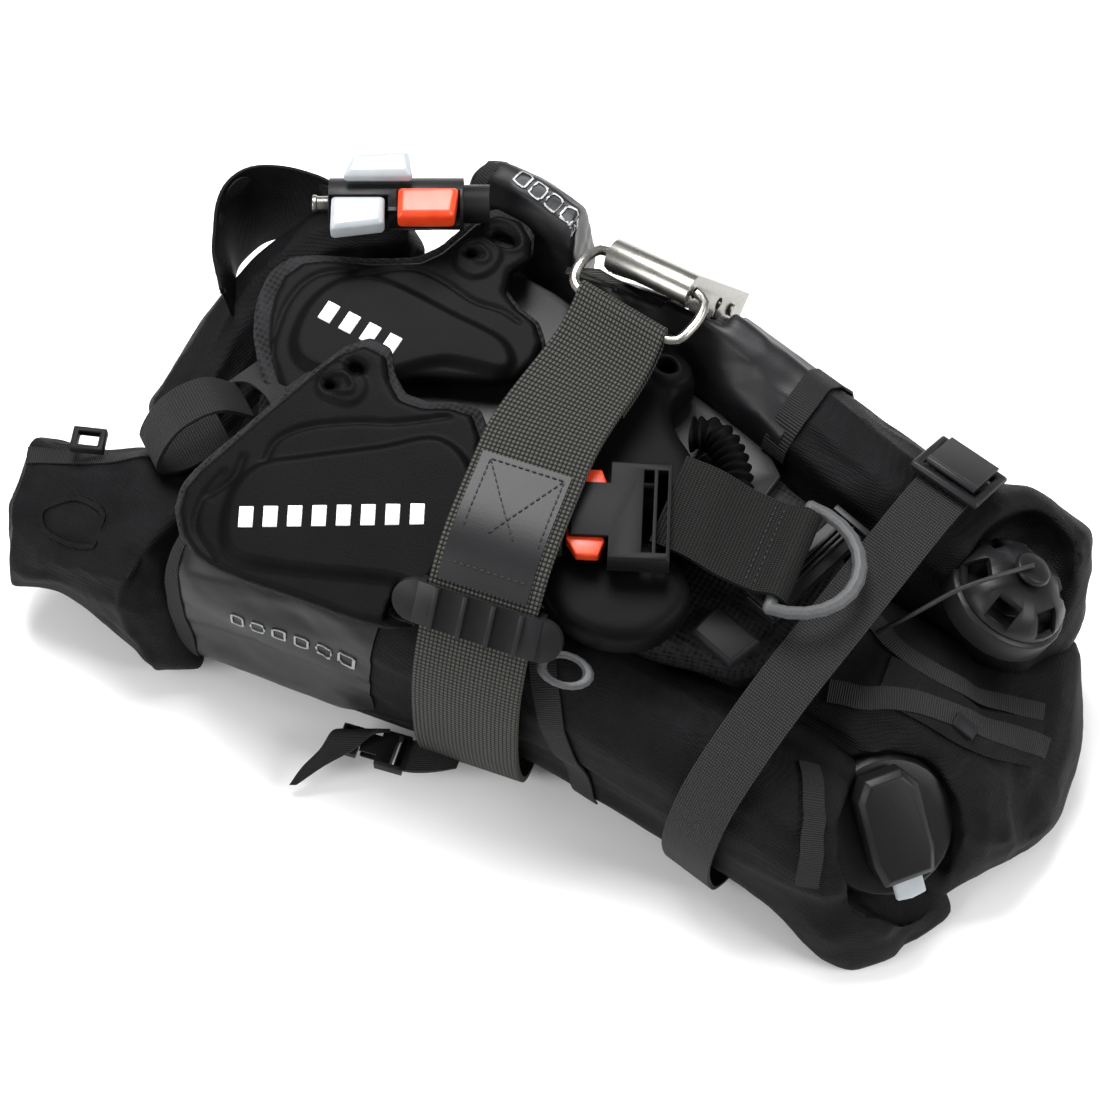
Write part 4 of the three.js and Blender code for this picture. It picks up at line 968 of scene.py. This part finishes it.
def flap_place(i, across):
    """A wall of cloth that stands up, leans a little at its top, ripples, and sags towards its far end."""
    t = i / (len(run) - 1)
    out = (run[min(i + 1, len(run) - 1)] - run[max(i - 1, 0)]).normalized().cross(Vector((0, 0, 1)))
    up = across / (FLAP_WIDE * MM) + 0.5
    lean = FLAP_LEAN * MM * up * up + FLAP_RIPPLE * MM * math.sin(t * RIPPLES_ALONG + up * RIPPLES_UP)
    top = 1 - SAG * max(0, t - SAG_FROM) / (1 - SAG_FROM)
    return run[i] + out * lean + Vector((0, 0, (FLAP_FOOT + FLAP_RISE * up * top) * MM))


flap = strip("shoulder_flap_cloth", run, length, FLAP_WIDE, 1.6, flap_place, 22)
belongs(flap, "bundle", ["shoulder_flap"], nylon)
hem_steps, hem_across = 8, 21.5 * MM
hem_run = [tuple(flap_place(round(k * (len(run) - 1) / hem_steps), hem_across) / MM) for k in range(hem_steps + 1)]
flap_skin = skin_of(flap)
belongs(laid_strip("shoulder_flap_hem", hem_run, 8, flap_skin, 0.5, 0.8), "bundle", [], tape)
belongs(thread_row("shoulder_flap_stitching", [[(x, y, z - 6) for x, y, z in hem_run]], 3, flap_skin, 0.3, 2, 0.3),
        "bundle", [], thread)

LOOP_TURN = Matrix.Translation((-144 * MM, -58 * MM, 0)) @ Matrix.Rotation(math.radians(-32), 4, "Z")
LOOP_RUN = [(26, 104), (10, 121), (-10, 118), (-23, 96), (-12, 84), (14, 88)]
run, length = run_through([(0, y, z) for y, z in LOOP_RUN], 2.5)
loop_web = strip("grab_loop_webbing", run, length, 20, 2,
                 lambda i, across: LOOP_TURN @ Vector((across, run[i].y, run[i].z)), 6)
belongs(loop_web, "bundle", ["grab_loop"], fine_web)
WEB_RUN = [(-93, -38, 128), (-101, -33, 130), (-112, -26, 125), (-126, -20, 114), (-138, -20, 104)]
run, length = run_through(WEB_RUN, 2.5)
short_web = strip("shoulder_web", run, length, 25, 2,
                  lambda i, across: run[i] + Vector((-0.35, -0.9, -0.1)) * across, 6)
belongs(short_web, "bundle", [], fine_web)
CROSS = [[(-104, -40, 134), (-118, -14, 120)], [(-104, -16, 134), (-118, -36, 120)]]
belongs(thread_row("shoulder_web_stitching", CROSS, 3, skin_of(short_web), 0.2, 2.2, 0.35),
        "bundle", [], thread)

# The flat end of the corner: a hem along its top edge and a plain oval pressed into the cloth.
corner_skin = skin_of(wing_corner)
belongs(laid_strip("wing_corner_hem", [(-216, -100, 74), (-200, -92, 80), (-180, -82, 84), (-160, -72, 86)], 8,
                   corner_skin, 0.8, 0.8), "bundle", [], tape)
OVAL = [(-176 + 19 * math.cos(a) - 4 * math.sin(a), -116 + 12 * math.sin(a) + 6 * math.cos(a), 66 - 4 * math.sin(a))
        for a in (k * math.pi / 8 for k in range(17))]
belongs(laid_strip("wing_corner_oval", OVAL, 2.4, corner_skin, 0.5, 0.9, 2, 3), "bundle", [], nylon)

# A short web holds the small buckle to the near lobe, and its cut end stands up as a stiff folded tail.
SIDE_TURN = Matrix.Translation((8 * MM, -120 * MM, 20 * MM)) @ Matrix.Rotation(math.radians(14), 4, "Z")
run, length = run_through([(-3, 0, 0), (6, 1, 1), (16, 4, 2), (24, 9, 0)], 1.5)
side_web = strip("side_web", run, length, 16, 1.8,
                 lambda i, across: SIDE_TURN @ (run[i] + Vector((0, across, 0))), 4)
belongs(side_web, "bundle", [], fine_web)
run, length = run_through([(-28, 6, -1), (-32, 0, 6), (-36, -8, 2), (-44, -16, -6), (-50, -24, -14)], 1.5)


def tail_place(i, across):
    """The tail is twisted out of its run to one side, and narrows towards its cut end."""
    twist, off_middle, narrowing, curve = Vector((0.75, 0.1, 0.25)), 8 * MM, 0.85, 1.3
    wide = 1 - narrowing * (i / (len(run) - 1)) ** curve
    return SIDE_TURN @ (run[i] + twist * (across + off_middle) * wide)


tail = strip("side_web_tail", run, length, 30, 1.8, tail_place, 4)
belongs(tail, "bundle", [], fine_web)
for node, body in (("flap_clip", "bundle"), ("side_buckle_socket", "bundle"), ("side_buckle_plug", "side_plug")):
    hard_copy(node, body, black_acetal, 0.6)
